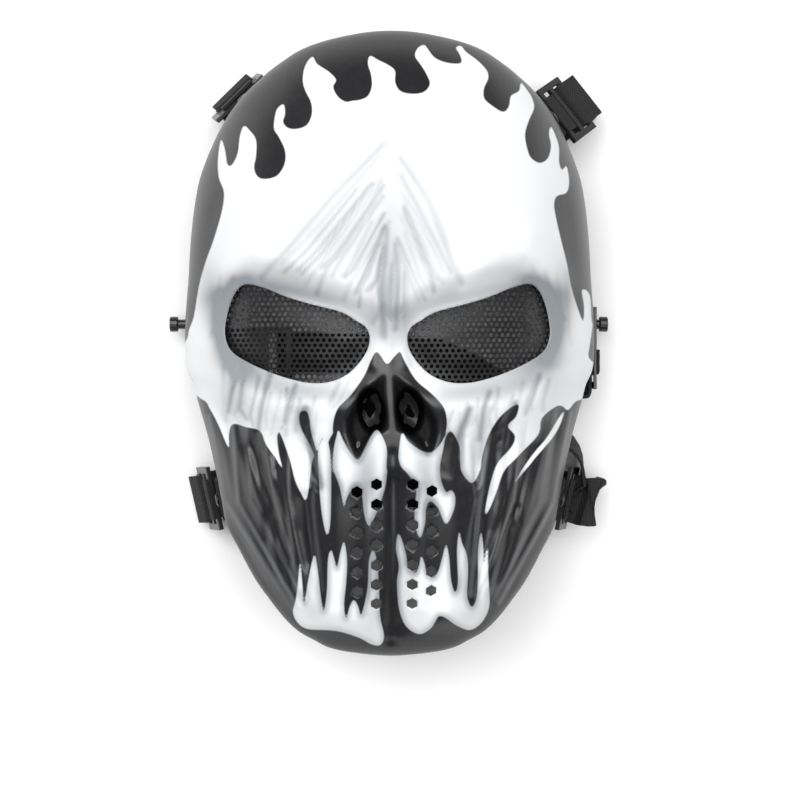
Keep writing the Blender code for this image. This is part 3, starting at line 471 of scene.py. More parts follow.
def grid_points(spacing, loops, clear, reach, wall=0.0):
    """Evenly spread places inside the face that keep clear of every loop."""
    rows = np.arange(-HALF_HEIGHT, HALF_HEIGHT, spacing * math.sqrt(3) / 2)
    places = []
    for k, y in enumerate(rows):
        xs = np.arange(-HALF_WIDTH, HALF_WIDTH, spacing) + (k % 2) * spacing / 2
        places.extend((x, y) for x in xs)
    places = np.array(places)
    radius = outline_radius(np.arctan2(places[:, 1], places[:, 0])) - wall
    keep = np.hypot(places[:, 0], places[:, 1]) < reach * radius
    for loop in loops:
        keep &= outside_by(places[:, 0], places[:, 1], loop) > clear
    return places[keep]


# How finely the dressed shell is meshed, in millimetres and steps round the rim.
RIM_STEPS = 640
FINE_GRID = 1.1
INNER_GRID = 5.0
WALL_ROWS = 14
LIP_ROWS = 4
EDGE_RINGS = (0.9985, 0.996, 0.992, 0.987)
GRID_REACH = 0.983
HOLE_CLEAR = 0.5
INNER_RINGS = (0.995, 0.98, 0.95)
INNER_REACH = 0.92
INNER_HOLE_CLEAR = 2.0
EYE_STEPS = 8
FINE_FADE = 0.06

# The chart is the photograph's own front view, and one chart step is one of its 800 by 800 pixels. Below are
# where the view's middle falls, how far off the eye is, and how many steps one millimetre takes when it is
# one millimetre away.
CHART_MIDDLE_X = 359.05
CHART_MIDDLE_Y = 344.0
CHART_SCALE = 1553.0
EYE_X = -15.0
EYE_FAR = 800.0


def chart_place(x, y, z):
    """Where a place on the mask falls in the front view chart."""
    far = EYE_FAR - z
    return CHART_MIDDLE_X + CHART_SCALE * (x - EYE_X) / far, CHART_MIDDLE_Y - CHART_SCALE * y / far


# The black and white patches of the paint, laid one over the other in this order. Each is walked round, in
# chart places that were read off the photograph.
Patch = namedtuple("Patch", "name black points")
PATCHES = table(
    Patch,
    ("top band and its runs", True, (
        (150, 400), (184, 345), (189, 330), (194, 316), (199, 286), (206, 261), (214, 239), (222, 211),
        (224, 192), (219, 178), (218, 160), (221, 140), (225, 150), (227, 163), (230, 166), (234, 162),
        (238, 152), (240, 136), (244, 126), (250, 131), (256, 140), (256, 156), (254, 168), (258, 177),
        (267, 179), (278, 175), (285, 163), (285, 150), (279, 137), (274, 128), (276, 112), (280, 106),
        (284, 105), (285, 114), (283, 122), (288, 128), (297, 129), (307, 125), (312, 114), (311, 102),
        (306, 92), (303, 82), (304, 70), (308, 61), (313, 57), (317, 64), (329, 72), (336, 80), (333, 87),
        (338, 97), (346, 102), (352, 101), (360, 100), (368, 96), (372, 86), (371, 74), (368, 64), (370, 56),
        (378, 60), (388, 65), (395, 71), (395, 82), (400, 91), (412, 94), (424, 92), (430, 84), (427, 75),
        (421, 65), (415, 56), (418, 48), (424, 45), (427, 48), (435, 58), (448, 63), (461, 63), (460, 55),
        (456, 48), (461, 46), (466, 52), (478, 61), (487, 71), (488, 79), (484, 88), (484, 98), (491, 105),
        (503, 112), (509, 106), (511, 96), (519, 91), (521, 83), (527, 90), (532, 98), (534, 108), (529, 120),
        (525, 134), (527, 148), (531, 158), (540, 163), (548, 158), (551, 146), (549, 134), (551, 127),
        (556, 137), (559, 148), (559, 162), (562, 170), (566, 166), (568, 172), (569, 184), (566, 193),
        (557, 196), (554, 204), (556, 218), (561, 240), (567, 264), (571, 286), (577, 306), (583, 321),
        (584, 306), (582, 290), (590, 296), (594, 330), (620, 380), (640, 200), (560, 0), (400, -20),
        (240, 0), (150, 100),
    )),
    ("white chip in the third run", False, (
        (318, 82), (324, 82), (332, 92), (338, 98), (334, 99), (326, 94), (320, 88),
    )),
    ("right side stripe", True, (
        (594, 305), (593, 322), (590, 344), (589, 358), (600, 362), (606, 330), (602, 305),
    )),
    ("left cheek and jaw", True, (
        (150, 380), (200, 398), (210, 409), (219, 426), (226, 443), (229, 447), (229, 434), (233, 424),
        (246, 427), (260, 431), (266, 444), (275, 457), (282, 468), (279, 454), (277, 438), (279, 432),
        (283, 440), (290, 460), (295, 480), (301, 493), (306, 500), (309, 486), (312, 462), (318, 448),
        (322, 438), (326, 446), (328, 452), (329, 440), (338, 428), (334, 448), (333, 468), (335, 474),
        (340, 488), (344, 507), (346, 500), (350, 492), (356, 486), (362, 495), (364, 513), (369, 526),
        (375, 516), (382, 498), (386, 483), (388, 464), (392, 440), (396, 440), (400, 464), (408, 474),
        (416, 487), (415, 506), (415, 524), (420, 538), (425, 523), (426, 509), (430, 501), (438, 508),
        (446, 524), (454, 509), (455, 496), (451, 490), (446, 492), (441, 480), (440, 466), (443, 450),
        (446, 436), (452, 432), (460, 448), (461, 470), (472, 483), (480, 470), (482, 456), (489, 434),
        (500, 417), (512, 407), (519, 405), (516, 417), (508, 426), (515, 436), (511, 448), (499, 461),
        (492, 478), (487, 499), (485, 514), (490, 508), (496, 493), (503, 473), (513, 461), (529, 445),
        (539, 433), (542, 418), (555, 407), (562, 406), (568, 410), (575, 402), (582, 399), (600, 390),
        (660, 500), (600, 680), (400, 720), (200, 680), (120, 500),
    )),
    ("left cheek slit", True, (
        (299, 416), (302, 411), (307, 412), (310, 422), (311, 432), (315, 446), (320, 464), (317, 462),
        (309, 444), (301, 428),
    )),
    ("first white run on the left", False, (
        (318, 452), (324, 438), (329, 446), (331, 470), (331, 500), (330, 525), (327, 535), (323, 520),
        (320, 495),
    )),
    ("thin sliver on the right cheek", False, (
        (564, 411), (560, 425), (553, 437), (536, 457), (515, 482), (530, 458), (545, 440), (555, 424),
    )),
    ("white teeth on the left", False, (
        (300, 562), (302, 580), (304, 604), (308, 582), (312, 562), (315, 555), (318, 572), (321, 598),
        (324, 611), (327, 590), (328, 560), (331, 550), (334, 558), (337, 568), (340, 554), (344, 542),
        (347, 560), (346, 584), (344, 604), (346, 618), (350, 606), (354, 600), (358, 606), (361, 615),
        (365, 602), (368, 584), (369, 561), (373, 550), (377, 562), (379, 590), (380, 616), (384, 636),
        (380, 645), (371, 644), (360, 638), (342, 632), (328, 630), (308, 629), (298, 623), (293, 612),
        (296, 599), (298, 582),
    )),
    ("white teeth on the right", False, (
        (398, 534), (402, 540), (406, 554), (408, 566), (415, 573), (419, 566), (421, 556), (424, 562),
        (427, 573), (433, 578), (438, 572), (442, 559), (446, 545), (449, 557), (451, 580), (455, 592),
        (458, 582), (457, 552), (459, 532), (462, 543), (467, 556), (468, 574), (467, 596), (472, 607),
        (477, 596), (478, 574), (478, 549), (481, 532), (483, 545), (484, 563), (486, 552), (488, 549),
        (488, 568), (489, 588), (489, 607), (482, 622), (470, 630), (456, 625), (446, 618), (439, 616),
        (435, 622), (430, 629), (419, 634), (406, 626), (399, 608), (397, 582), (399, 566), (396, 549),
    )),
    ("nose", True, (
        (387, 364), (381, 356), (376, 352), (371, 360), (364, 376), (350, 396), (338, 408), (333, 424),
        (334, 440), (338, 430), (343, 440), (350, 452), (358, 460), (364, 450), (370, 438), (377, 430),
        (384, 440), (387, 452), (387, 470), (397, 470), (399, 450), (402, 433), (408, 441), (420, 450),
        (432, 452), (443, 440), (447, 424), (444, 408), (432, 394), (416, 380), (405, 362), (400, 352),
        (394, 357),
    )),
)
PATCH_STEPS = 4

# The single wrinkles that the solid is too coarse for. Each is a bent line of three chart places, with its
# width in chart steps, its rise in millimetres, and how much painted shade lies in it.
Crease = namedtuple("Crease", "x0 y0 x1 y1 x2 y2 width rise grey")
CREASES = table(
    Crease,
    (385, 140, 330, 196, 262, 278, 3.6, -1.1, 0.30),
    (402, 158, 430, 200, 462, 285, 3.4, -1.0, 0.28),
    (386, 232, 382, 280, 384, 338, 3.6, -0.9, 0.34),
    (397, 246, 398, 280, 396, 330, 3.2, -0.8, 0.30),
    (240, 365, 232, 390, 228, 412, 2.6, -0.8, 0.55),
    (270, 372, 262, 402, 258, 430, 2.8, -1.0, 0.60),
    (295, 385, 288, 404, 285, 424, 2.6, -0.9, 0.55),
    (305, 410, 305, 424, 319, 486, 4.4, -2.0, 1.00),
    (302, 414, 303, 424, 308, 434, 5.0, -1.2, 1.00),
    (470, 410, 462, 430, 458, 460, 4.2, -1.3, 0.85),
    (516, 404, 508, 420, 500, 440, 3.8, -1.2, 0.80),
    (490, 392, 484, 410, 480, 440, 2.8, -0.8, 0.50),
    (540, 376, 534, 396, 526, 414, 2.8, -0.8, 0.45),
    (393, 455, 393, 540, 391, 640, 5.0, -1.4, 0.60),
    (277, 470, 286, 512, 290, 560, 3.0, -1.2, 0.40),
    (268, 516, 266, 526, 268, 538, 5.0, -1.6, 0.40),
    (517, 508, 516, 516, 517, 524, 4.0, -1.2, 0.40),
)

# Fans of fine wrinkles between a first line and a last one, each from its start to its end in chart places.
# width, rise and grey, the painted shade, are as for the single wrinkles.
Fan = namedtuple("Fan", "name x0 y0 x1 y1 x2 y2 x3 y3 count width rise grey")
FANS = table(
    Fan,
    ("left forehead", 382, 150, 268, 280, 390, 240, 366, 310, 14, 2.4, -0.75, 0.42),
    ("right forehead", 404, 166, 458, 288, 397, 240, 418, 306, 9, 2.4, -0.65, 0.34),
    ("between the eyes", 374, 262, 374, 334, 410, 262, 406, 326, 6, 2.4, -0.55, 0.34),
    ("left temple", 214, 262, 208, 350, 262, 286, 226, 312, 6, 2.2, -0.36, 0.20),
    ("left cheek", 220, 360, 216, 426, 322, 400, 314, 440, 13, 2.1, -0.55, 0.38),
    ("left nose side", 340, 380, 322, 420, 356, 384, 348, 400, 5, 2.2, -0.45, 0.32),
    ("right cheek", 448, 402, 446, 440, 560, 374, 546, 414, 11, 2.1, -0.48, 0.30),
    ("right temple", 530, 268, 556, 300, 566, 268, 576, 350, 5, 2.2, -0.36, 0.18),
)
FAN_WANDER = 5.0
FAN_STARTS = (0.0, 0.25)
FAN_STOPS = (0.75, 1.0)
FAN_STRENGTHS = (0.4, 1.1)
FIBRE_STRENGTHS = (0.5, 1.2)
WIDTH_SHARES = (0.7, 1.3)
FOLD_SEED = 11
RIDGE_REACH = 4

# However the folds add up, the outer face goes no deeper and no higher than this, in millimetres.
DEEPEST_FOLD = 1.8
HIGHEST_FOLD = 1.3

# The jaw's long fibres run between these two bent lines on each side, in chart places. Every second one
# rises and the others sink.
Fibres = namedtuple("Fibres", "x0 y0 x1 y1 x2 y2 u0 v0 u1 v1 u2 v2 count")
FIBRES = table(
    Fibres,
    (204, 416, 218, 500, 286, 610, 322, 430, 318, 500, 326, 590, 14),
    (579, 410, 560, 500, 504, 606, 470, 440, 470, 500, 462, 590, 14),
)
FIBRE_WIDTH = 2.8
FIBRE_RISE = 0.80
FIBRE_WANDER = 6.0

# Soft grey over the white, mostly painted shade in the sockets, creases and hollows: middle, half sizes and
# strength in the chart.
SoftShade = namedtuple("SoftShade", "x y wide high tilt strength")
SOFT_SHADES = table(
    SoftShade,
    (219, 322, 14, 52, -14, 0.90),
    (232, 286, 30, 9, -28, 0.45),
    (240, 372, 30, 11, 27, 0.55),
    (559, 322, 13, 50, 8, 0.90),
    (540, 284, 32, 9, 24, 0.45),
    (534, 376, 34, 10, -30, 0.50),
    (300, 292, 60, 8, 12, 0.40),
    (470, 296, 60, 8, -12, 0.30),
    (390, 306, 22, 50, 0, 0.36),
    (344, 240, 34, 74, 42, 0.16),
    (424, 240, 24, 66, -28, 0.11),
    (389, 262, 14, 60, 0, 0.22),
    (318, 394, 66, 9, 7, 0.42),
    (468, 394, 62, 9, -7, 0.40),
    (236, 404, 16, 26, 0, 0.30),
    (300, 424, 20, 22, 0, 0.26),
    (366, 476, 15, 40, 0, 0.85),
    (424, 480, 15, 44, 0, 0.75),
    (336, 470, 10, 46, 0, 0.40),
    (452, 460, 12, 40, 0, 0.40),
    (372, 566, 9, 60, 0, 0.50),
    (408, 576, 10, 44, 0, 0.45),
    (480, 440, 20, 40, 15, 0.34),
    (316, 600, 14, 20, 0, 0.30),
    (470, 596, 14, 22, 0, 0.30),
    (276, 408, 30, 26, 0, 0.16),
)

# The sculpted part of the forehead, between the two slanting folds, has a thin grey veil over its white.
VEIL = (
    (392, 138), (330, 200), (262, 282), (300, 300), (352, 314), (384, 346), (398, 346), (418, 312),
    (462, 286), (434, 206),
)
VEIL_GREY = 0.20
VEIL_REACH = 8.0

# The painted highlight on each breath hole's edge: its width in millimetres and how bright its top is beside
# its foot.
HOLE_RIM_WIDTH = 0.6
HOLE_RIM_TOP = 0.3

# How dark the painted shade in the nose cavity is beside its nostrils, and where both fade out, in
# millimetres for the cavity and in nostril sizes for the nostrils.
CAVITY_SHADE = 0.65
CAVITY_FROM = 0.4
CAVITY_FADE = 3.0
NOSTRIL_DARK = 1.1
NOSTRIL_FADE = 0.6

# Where the white thins out to grey beside the black round the mouth: a middle, half sizes and a reach, in
# chart steps. PAINT_REACH is how far from a patch's edge its distance is kept.
THIN_X = 396.0
THIN_Y = 540.0
THIN_WIDE = 100.0
THIN_HIGH = 110.0
THIN_REACH = 7.0
THIN_GREY = 0.75
PAINT_REACH = 8.0


def line_field(u, v, line, width):
    """A soft ridge along a bent line, one on it and falling away over its width."""
    low = np.min(line, axis=0) - RIDGE_REACH * width
    high = np.max(line, axis=0) + RIDGE_REACH * width
    near = (u > low[0]) & (u < high[0]) & (v > low[1]) & (v < high[1])
    field = np.zeros(np.shape(u))
    field[near] = np.exp(-((distance_to_line(u[near], v[near], line) / width) ** 2))
    return field


def wander(line, reach, dice):
    """The same line with its places moved a little."""
    return [(x + reach * dice.uniform(-1, 1), y + 0.5 * reach * dice.uniform(-1, 1)) for x, y in line]


def fibre_lines(row, dice):
    """The fibres between the two bent lines of a row."""
    first = np.array(bent_line(row))
    last = np.array([(row.u0, row.v0), (row.u1, row.v1), (row.u2, row.v2)])
    shares = [k / (row.count - 1) for k in range(row.count)]
    return [wander(first * (1 - t) + last * t, FIBRE_WANDER, dice) for t in shares]


def fan_lines(fan, dice):
    """The wrinkles of a fan, each bent a little at its middle."""
    lines = []
    for k in range(fan.count):
        t = (k + 0.5) / fan.count
        start = np.array([fan.x0, fan.y0]) * (1 - t) + np.array([fan.x2, fan.y2]) * t
        end = np.array([fan.x1, fan.y1]) * (1 - t) + np.array([fan.x3, fan.y3]) * t
        begin = start + (end - start) * dice.uniform(*FAN_STARTS)
        stop = start + (end - start) * dice.uniform(*FAN_STOPS)
        bend = ((start + end) / 2 + stop) / 2
        lines.append(wander([begin, bend, stop], FAN_WANDER, dice))
    return lines


def fine_relief(u, v):
    """The fine form over the solid's: its rise in millimetres, the painted shade in its wrinkles and the
    painted highlight on its fibre crests.
    """
    dice = np.random.default_rng(FOLD_SEED)
    rise = np.zeros(np.shape(u))
    grey = np.zeros(np.shape(u))
    crest_highlight = np.zeros(np.shape(u))
    for crease in CREASES:
        field = line_field(u, v, bent_line(crease), crease.width)
        rise += crease.rise * field
        grey = np.maximum(grey, crease.grey * field)
    for fan in FANS:
        for line in fan_lines(fan, dice):
            share = dice.uniform(*FAN_STRENGTHS)
            field = line_field(u, v, line, fan.width * dice.uniform(*WIDTH_SHARES))
            rise += fan.rise * share * field
            grey = np.maximum(grey, fan.grey * share * field)
    for row in FIBRES:
        for k, line in enumerate(fibre_lines(row, dice)):
            share = dice.uniform(*FIBRE_STRENGTHS)
            field = line_field(u, v, line, FIBRE_WIDTH * dice.uniform(*WIDTH_SHARES))
            rise += (FIBRE_RISE if k % 2 else -FIBRE_RISE) * share * field
            # Each rising fibre gets a painted highlight along its crest.
            if k % 2:
                crest_highlight = np.maximum(crest_highlight, share * field)
    return np.clip(rise, -DEEPEST_FOLD, HIGHEST_FOLD), grey, crest_highlight


def patch_depth(u, v, points):
    """Distance outside a patch, and minus the distance inside it, in chart steps, out to a short reach."""
    loop = closed_spline(points, PATCH_STEPS)
    reach = PAINT_REACH
    low = loop.min(axis=0) - reach
    high = loop.max(axis=0) + reach
    near = (u > low[0]) & (u < high[0]) & (v > low[1]) & (v < high[1])
    depth = np.full(np.shape(u), reach)
    depth[near] = np.clip(outside_by(u[near], v[near], loop), -reach, reach)
    return depth


def paint_field(u, v):
    """How far inside the white paint each place is, and minus that in the black, in chart steps."""
    white = np.full(np.shape(u), PAINT_REACH)
    for patch in PATCHES:
        depth = patch_depth(u, v, patch.points)
        white = np.minimum(white, depth) if patch.black else np.maximum(white, -depth)
    return white


def soft_shade_field(u, v):
    """All the soft painted shade together."""
    grey = np.zeros(np.shape(u))
    for soft_shade in SOFT_SHADES:
        turn = math.radians(soft_shade.tilt)
        du = (u - soft_shade.x) * math.cos(turn) + (v - soft_shade.y) * math.sin(turn)
        dv = -(u - soft_shade.x) * math.sin(turn) + (v - soft_shade.y) * math.cos(turn)
        grey = grey + soft_shade.strength * np.exp(-((du / soft_shade.wide) ** 2) - (dv / soft_shade.high) ** 2)
    return grey


def thin_grey(u, v, white):
    """The grey of the thin paint beside the black round the mouth."""
    near = np.exp(-(((u - THIN_X) / THIN_WIDE) ** 4) - ((v - THIN_Y) / THIN_HIGH) ** 4)
    return THIN_GREY * near * (1 - smooth_step(white / THIN_REACH))


def veil_field(u, v):
    """The thin grey over the sculpted forehead, fading out across its edge."""
    depth = np.clip(outside_by(u, v, closed_spline(VEIL, PATCH_STEPS)), -VEIL_REACH, VEIL_REACH)
    return VEIL_GREY * smooth_step(0.5 - 0.5 * depth / VEIL_REACH)


def hole_rim_highlights(x, y):
    """Painted highlights on the edges of the breath holes, strongest on their lower sides."""
    painted_highlight = np.zeros(np.shape(x))
    for hole in breath_holes():
        middle = hole.mean(axis=0)
        away = np.hypot(x - middle[0], y - middle[1]) - HEX_HOLE_FLATS / 2
        lower = smooth_step(0.5 - (y - middle[1]) / HEX_HOLE_FLATS)
        bright = HOLE_RIM_TOP + (1 - HOLE_RIM_TOP) * lower
        painted_highlight = np.maximum(painted_highlight, bright * np.exp(-((away / HOLE_RIM_WIDTH) ** 2)))
    return painted_highlight


def nostril_shade(x, y):
    """Painted shade: full in the nostrils, less in the nose cavity round them, and none outside it."""
    across = np.abs(x - face_lean(y))
    away = np.hypot((across - NOSTRIL_X) / NOSTRIL_HALF_WIDTH, (y - NOSTRIL_Y) / NOSTRIL_HALF_HEIGHT)
    cavity = smooth_step(CAVITY_FROM - outside_by(across, y, NOSE_LOOP) / CAVITY_FADE)
    return np.maximum(CAVITY_SHADE * cavity, 1 - smooth_step((away - NOSTRIL_DARK) / NOSTRIL_FADE))


def new_object(name, data):
    made = bpy.data.objects.new(name, data)
    bpy.context.scene.collection.objects.link(made)
    return made


def new_mesh(name, points, faces, smooth=True):
    """A mesh object from points in millimetres and triangles or quads, turned outwards."""
    mesh = bpy.data.meshes.new(name)
    mesh.from_pydata((np.asarray(points, float) * MILLIMETRE).tolist(), [], faces)
    body = bmesh.new()
    body.from_mesh(mesh)
    bmesh.ops.recalc_face_normals(body, faces=body.faces[:])
    if body.calc_volume(signed=True) < 0:
        bmesh.ops.reverse_faces(body, faces=body.faces[:])
    body.to_mesh(mesh)
    body.free()
    mesh.polygons.foreach_set("use_smooth", [smooth] * len(mesh.polygons))
    return new_object(name, mesh)


def add_values(made, name, values):
    layer = made.data.attributes.new(name, "FLOAT", "POINT")
    layer.data.foreach_set("value", np.asarray(values, np.float32))


def face_list(triangles, shift=0):
    return [tuple(int(i) + shift for i in face) for face in triangles]


def quad_strip(first, second):
    """Quads between two closed rows of the same length."""
    count = len(first)
    return [(first[k], second[k], second[(k + 1) % count], first[(k + 1) % count]) for k in range(count)]


def ring_at(share, wall=0.0):
    angles = np.linspace(0, 2 * math.pi, RIM_STEPS, endpoint=False)
    angles = (angles + math.pi) % (2 * math.pi) - math.pi
    radii = (outline_radius(angles) - wall) * share
    return np.column_stack([radii * np.cos(angles), radii * np.sin(angles)])


# The sockets' painted shade: where it starts to grow and over how far, its least strength, what the outer end
# adds, and how far it reaches from the eye opening. Lengths in millimetres.
SHADE_FROM = 34.0
SHADE_OVER = 44.0
SHADE_INNER = 0.30
SHADE_MORE = 0.60
SHADE_REACH = 5.5


def socket_shade(x, y):
    """Painted shade in the eye sockets, strongest at their outer ends."""
    across = np.abs(x - face_lean(y))
    away = np.maximum(outside_by(across, y, EYE_LOOP), 0)
    outer = smooth_step((across - SHADE_FROM) / SHADE_OVER)
    return (SHADE_INNER + SHADE_MORE * outer) * np.exp(-((away / SHADE_REACH) ** 2))


def dressed_shell(material):
    """The shell at full detail, with its wrinkles, and its paint, painted shade and painted highlights as
    values on its points.
    """
    holes = [eye_contour(side, EYE_STEPS) for side in (-1, 1)] + breath_holes()
    rings = [ring_at(share) for share in EDGE_RINGS]
    grid = grid_points(FINE_GRID, holes, HOLE_CLEAR, GRID_REACH)
    outer_flat, outer_faces, outer_spans = filled_plate([ring_at(1.0)] + holes, np.vstack([grid] + rings))
    inner_rings = [ring_at(share, SHELL_WALL) for share in INNER_RINGS]
    inner_grid = grid_points(INNER_GRID, holes, INNER_HOLE_CLEAR, INNER_REACH, SHELL_WALL)
    inner_flat, inner_faces, inner_spans = filled_plate(
        [ring_at(1.0, SHELL_WALL)] + holes, np.vstack([inner_grid] + inner_rings)
    )
    x, y = outer_flat.T
    base = face_height(x, y)
    ring_ids = np.array(outer_spans[0])
    base[ring_ids] = edge_height(y[ring_ids])
    u, v = chart_place(x, y, base)
    rise, grey, crest_highlight = fine_relief(u, v)
    kept = smooth_step((1 - np.hypot(x, y) / outline_radius(np.arctan2(y, x))) / FINE_FADE)
    white = paint_field(u, v)
    # Painted shade from the wrinkles, the soft shades and the sockets, with the grey veil and the thin paint
    # round the mouth.
    grey = grey + soft_shade_field(u, v) + veil_field(u, v) + thin_grey(u, v, white) + socket_shade(x, y)
    grey = np.clip(grey, 0, 1)
    # Painted highlights on the fibre crests and on the lower rims of the breath holes.
    crest_highlight = np.maximum(crest_highlight, hole_rim_highlights(x, y))
    # Painted shade in the nose cavity and nostrils.
    painted_cavity_shade = nostril_shade(x, y)
    outer = np.column_stack([outer_flat, base + rise * kept])
    inner_z = face_height(inner_flat[:, 0], inner_flat[:, 1], inner=True)
    inner_ids = np.array(inner_spans[0])
    inner_z[inner_ids] = edge_height(y[ring_ids])
    inner = np.column_stack([inner_flat, inner_z])
    shift = len(outer)
    faces = face_list(outer_faces) + face_list(inner_faces[:, ::-1], shift)
    points = [outer, inner]
    whites = [white, np.full(len(inner), -PAINT_REACH)]
    greys = [grey, np.zeros(len(inner))]
    total = shift + len(inner)
    edge = outer[ring_ids]
    radius = np.hypot(edge[:, 0], edge[:, 1])
    low = rim_height(edge[:, 1])
    rows = [(k / WALL_ROWS, 0.0) for k in range(1, WALL_ROWS + 1)]
    rows += [(1 - k / LIP_ROWS, SHELL_WALL) for k in range(LIP_ROWS)]
    before = [int(i) for i in ring_ids]
    for down, wall in rows:
        scale = (radius - wall - down * RIM_TUCK) / radius
        points.append(
            np.column_stack([edge[:, 0] * scale, edge[:, 1] * scale, edge[:, 2] + (low - edge[:, 2]) * down])
        )
        whites.append(white[ring_ids] if wall == 0 else np.full(RIM_STEPS, -PAINT_REACH))
        greys.append(grey[ring_ids] if wall == 0 else np.zeros(RIM_STEPS))
        row = list(range(total, total + RIM_STEPS))
        total += RIM_STEPS
        faces += quad_strip(before, row)
        before = row
    faces += quad_strip(before, [int(i) + shift for i in inner_spans[0]])
    for outer_span, inner_span in zip(outer_spans[1:], inner_spans[1:]):
        faces += quad_strip([int(i) + shift for i in inner_span], [int(i) for i in outer_span])
    made = new_mesh("painted_shell", np.vstack(points), faces)
    add_values(made, "paint", np.concatenate(whites))
    add_values(made, "grey", np.concatenate(greys))
    rest = np.zeros(len(made.data.vertices) - shift)
    add_values(made, "crest_highlight", np.concatenate([crest_highlight * kept, rest]))
    add_values(made, "painted_cavity_shade", np.concatenate([painted_cavity_shade, rest]))
    made.data.materials.append(material)
    return made


# The round holes of the lenses stand in staggered rows and keep clear of the sheet's edge. In millimetres.
PIERCED_PITCH = 2.70
PIERCED_RADIUS = 0.90
PIERCED_SIDES = 8
PIERCED_THICK = 0.8
PIERCED_EDGE = 1.2
PIERCED_ROWS = 18
PIERCED_COLUMNS = 22
LENS_BEHIND = 0.6
LENS_RISE_OVER = 12.0


def lens_rim(side):
    """The outer edge of a lens, one flange outside the eye opening."""
    eye = eye_contour(side)
    away = eye - eye.mean(axis=0)
    return eye + away / np.hypot(away[:, 0], away[:, 1])[:, None] * LENS_FLANGE


def dressed_lens(name, side, material):
    """The pierced sheet of one eye, with its small round holes in staggered rows."""
    eye = eye_contour(side)
    middle = eye.mean(axis=0)
    rim = lens_rim(side)
    turns = np.linspace(0, 2 * math.pi, PIERCED_SIDES, endpoint=False) + math.pi / PIERCED_SIDES
    ring = np.column_stack([np.cos(turns), np.sin(turns)]) * PIERCED_RADIUS
    spots = []
    for row in range(-PIERCED_ROWS, PIERCED_ROWS + 1):
        for column in range(-PIERCED_COLUMNS, PIERCED_COLUMNS + 1):
            x = middle[0] + (column + (row % 2) / 2) * PIERCED_PITCH
            spots.append((x, middle[1] + row * PIERCED_PITCH * math.sqrt(3) / 2))
    spots = np.array(spots)
    spots = spots[outside_by(spots[:, 0], spots[:, 1], rim) < -(PIERCED_RADIUS + PIERCED_EDGE)]
    holes = [spot + ring for spot in spots]
    flat, front, spans = filled_plate([rim] + holes, eye)
    across = np.abs(flat[:, 0] - face_lean(flat[:, 1]))
    inside = np.maximum(-outside_by(across, flat[:, 1], EYE_LOOP), 0)
    z = face_height(flat[:, 0], flat[:, 1], inner=True) - LENS_BEHIND
    z = z + LENS_BULGE * smooth_step(inside / LENS_RISE_OVER)
    points = np.vstack([np.column_stack([flat, z]), np.column_stack([flat, z - PIERCED_THICK])])
    shift = len(flat)
    faces = face_list(front) + face_list(front[:, ::-1], shift)
    for span in spans:
        row = [int(i) for i in span]
        faces += quad_strip(row, [i + shift for i in row])
    made = new_mesh(name, points, faces, smooth=False)
    made.data.materials.append(material)
    return made


def node_material(name):
    """A new material with its node tree, its shader and a place for more nodes."""
    material = bpy.data.materials.new(name)
    material.use_nodes = True
    tree = material.node_tree
    return material, tree, tree.nodes["Principled BSDF"]


def set_inputs(node, **values):
    """Sets a node's sockets by name, with _ for each blank. It gives the node."""
    for name, value in values.items():
        node.inputs[name.replace("_", " ")].default_value = value
    return node


def colour_mix(tree, factor, first, second):
    """A mix of two colours, each given as numbers or as a socket."""
    node = tree.nodes.new("ShaderNodeMix")
    node.data_type = "RGBA"
    for socket, given in ((node.inputs["A"], first), (node.inputs["B"], second)):
        if isinstance(given, tuple):
            socket.default_value = (*given, 1.0)
        else:
            tree.links.new(given, socket)
    tree.links.new(factor, node.inputs["Factor"])
    return node.outputs["Result"]


def two_values(tree, operation, first, second):
    """One number from two sockets."""
    node = tree.nodes.new("ShaderNodeMath")
    node.operation = operation
    tree.links.new(first, node.inputs[0])
    tree.links.new(second, node.inputs[1])
    return node.outputs["Value"]


def bump_from(tree, shader, height, strength, distance):
    """The shader's normal, bumped by a height."""
    bump = set_inputs(tree.nodes.new("ShaderNodeBump"), Strength=strength, Distance=distance)
    tree.links.new(height, bump.inputs["Height"])
    tree.links.new(bump.outputs["Normal"], shader.inputs["Normal"])


# Grain of the plastics and metals, its height in metres.
GRAIN_DETAIL = 4.0
GRAIN_HEIGHT = 0.0004


def add_grain(tree, shader, scale, strength):
    """Fine grain: an object space noise driving the shader's normal. It gives the noise."""
    place = tree.nodes.new("ShaderNodeTexCoord")
    noise = set_inputs(tree.nodes.new("ShaderNodeTexNoise"), Scale=scale, Detail=GRAIN_DETAIL)
    tree.links.new(place.outputs["Object"], noise.inputs["Vector"])
    bump_from(tree, shader, noise.outputs["Fac"], strength, GRAIN_HEIGHT)
    return noise.outputs["Fac"]


SHELL_GRAIN = 420.0
SHELL_GRAIN_STRENGTH = 0.12

# The shell's colours, and over how many chart steps the paint's edge and roughness change.
WHITE_PAINT = (0.84, 0.85, 0.86)
# The next grey, mixed into the white, is mostly painted shade and partly grey paint.
GREY_PAINT_AND_SHADE = (0.27, 0.29, 0.31)
PLASTIC_DARK = (0.006, 0.006, 0.007)
PLASTIC_LIGHT = (0.020, 0.020, 0.022)
# The next grey is a painted highlight on the fibre crests and breath hole rims.
PAINTED_HIGHLIGHT_GREY = (0.085, 0.088, 0.095)
# The next black is painted shade in the nose cavity and nostrils.
PAINTED_SHADE_BLACK = (0.002, 0.002, 0.002)
PAINT_EDGE = 0.8
CREST_FROM = 0.2
CREST_SHARE = 0.8
PLASTIC_ROUGH = 0.36
PAINT_ROUGH = 0.58
SHELL_GLINT = 0.5


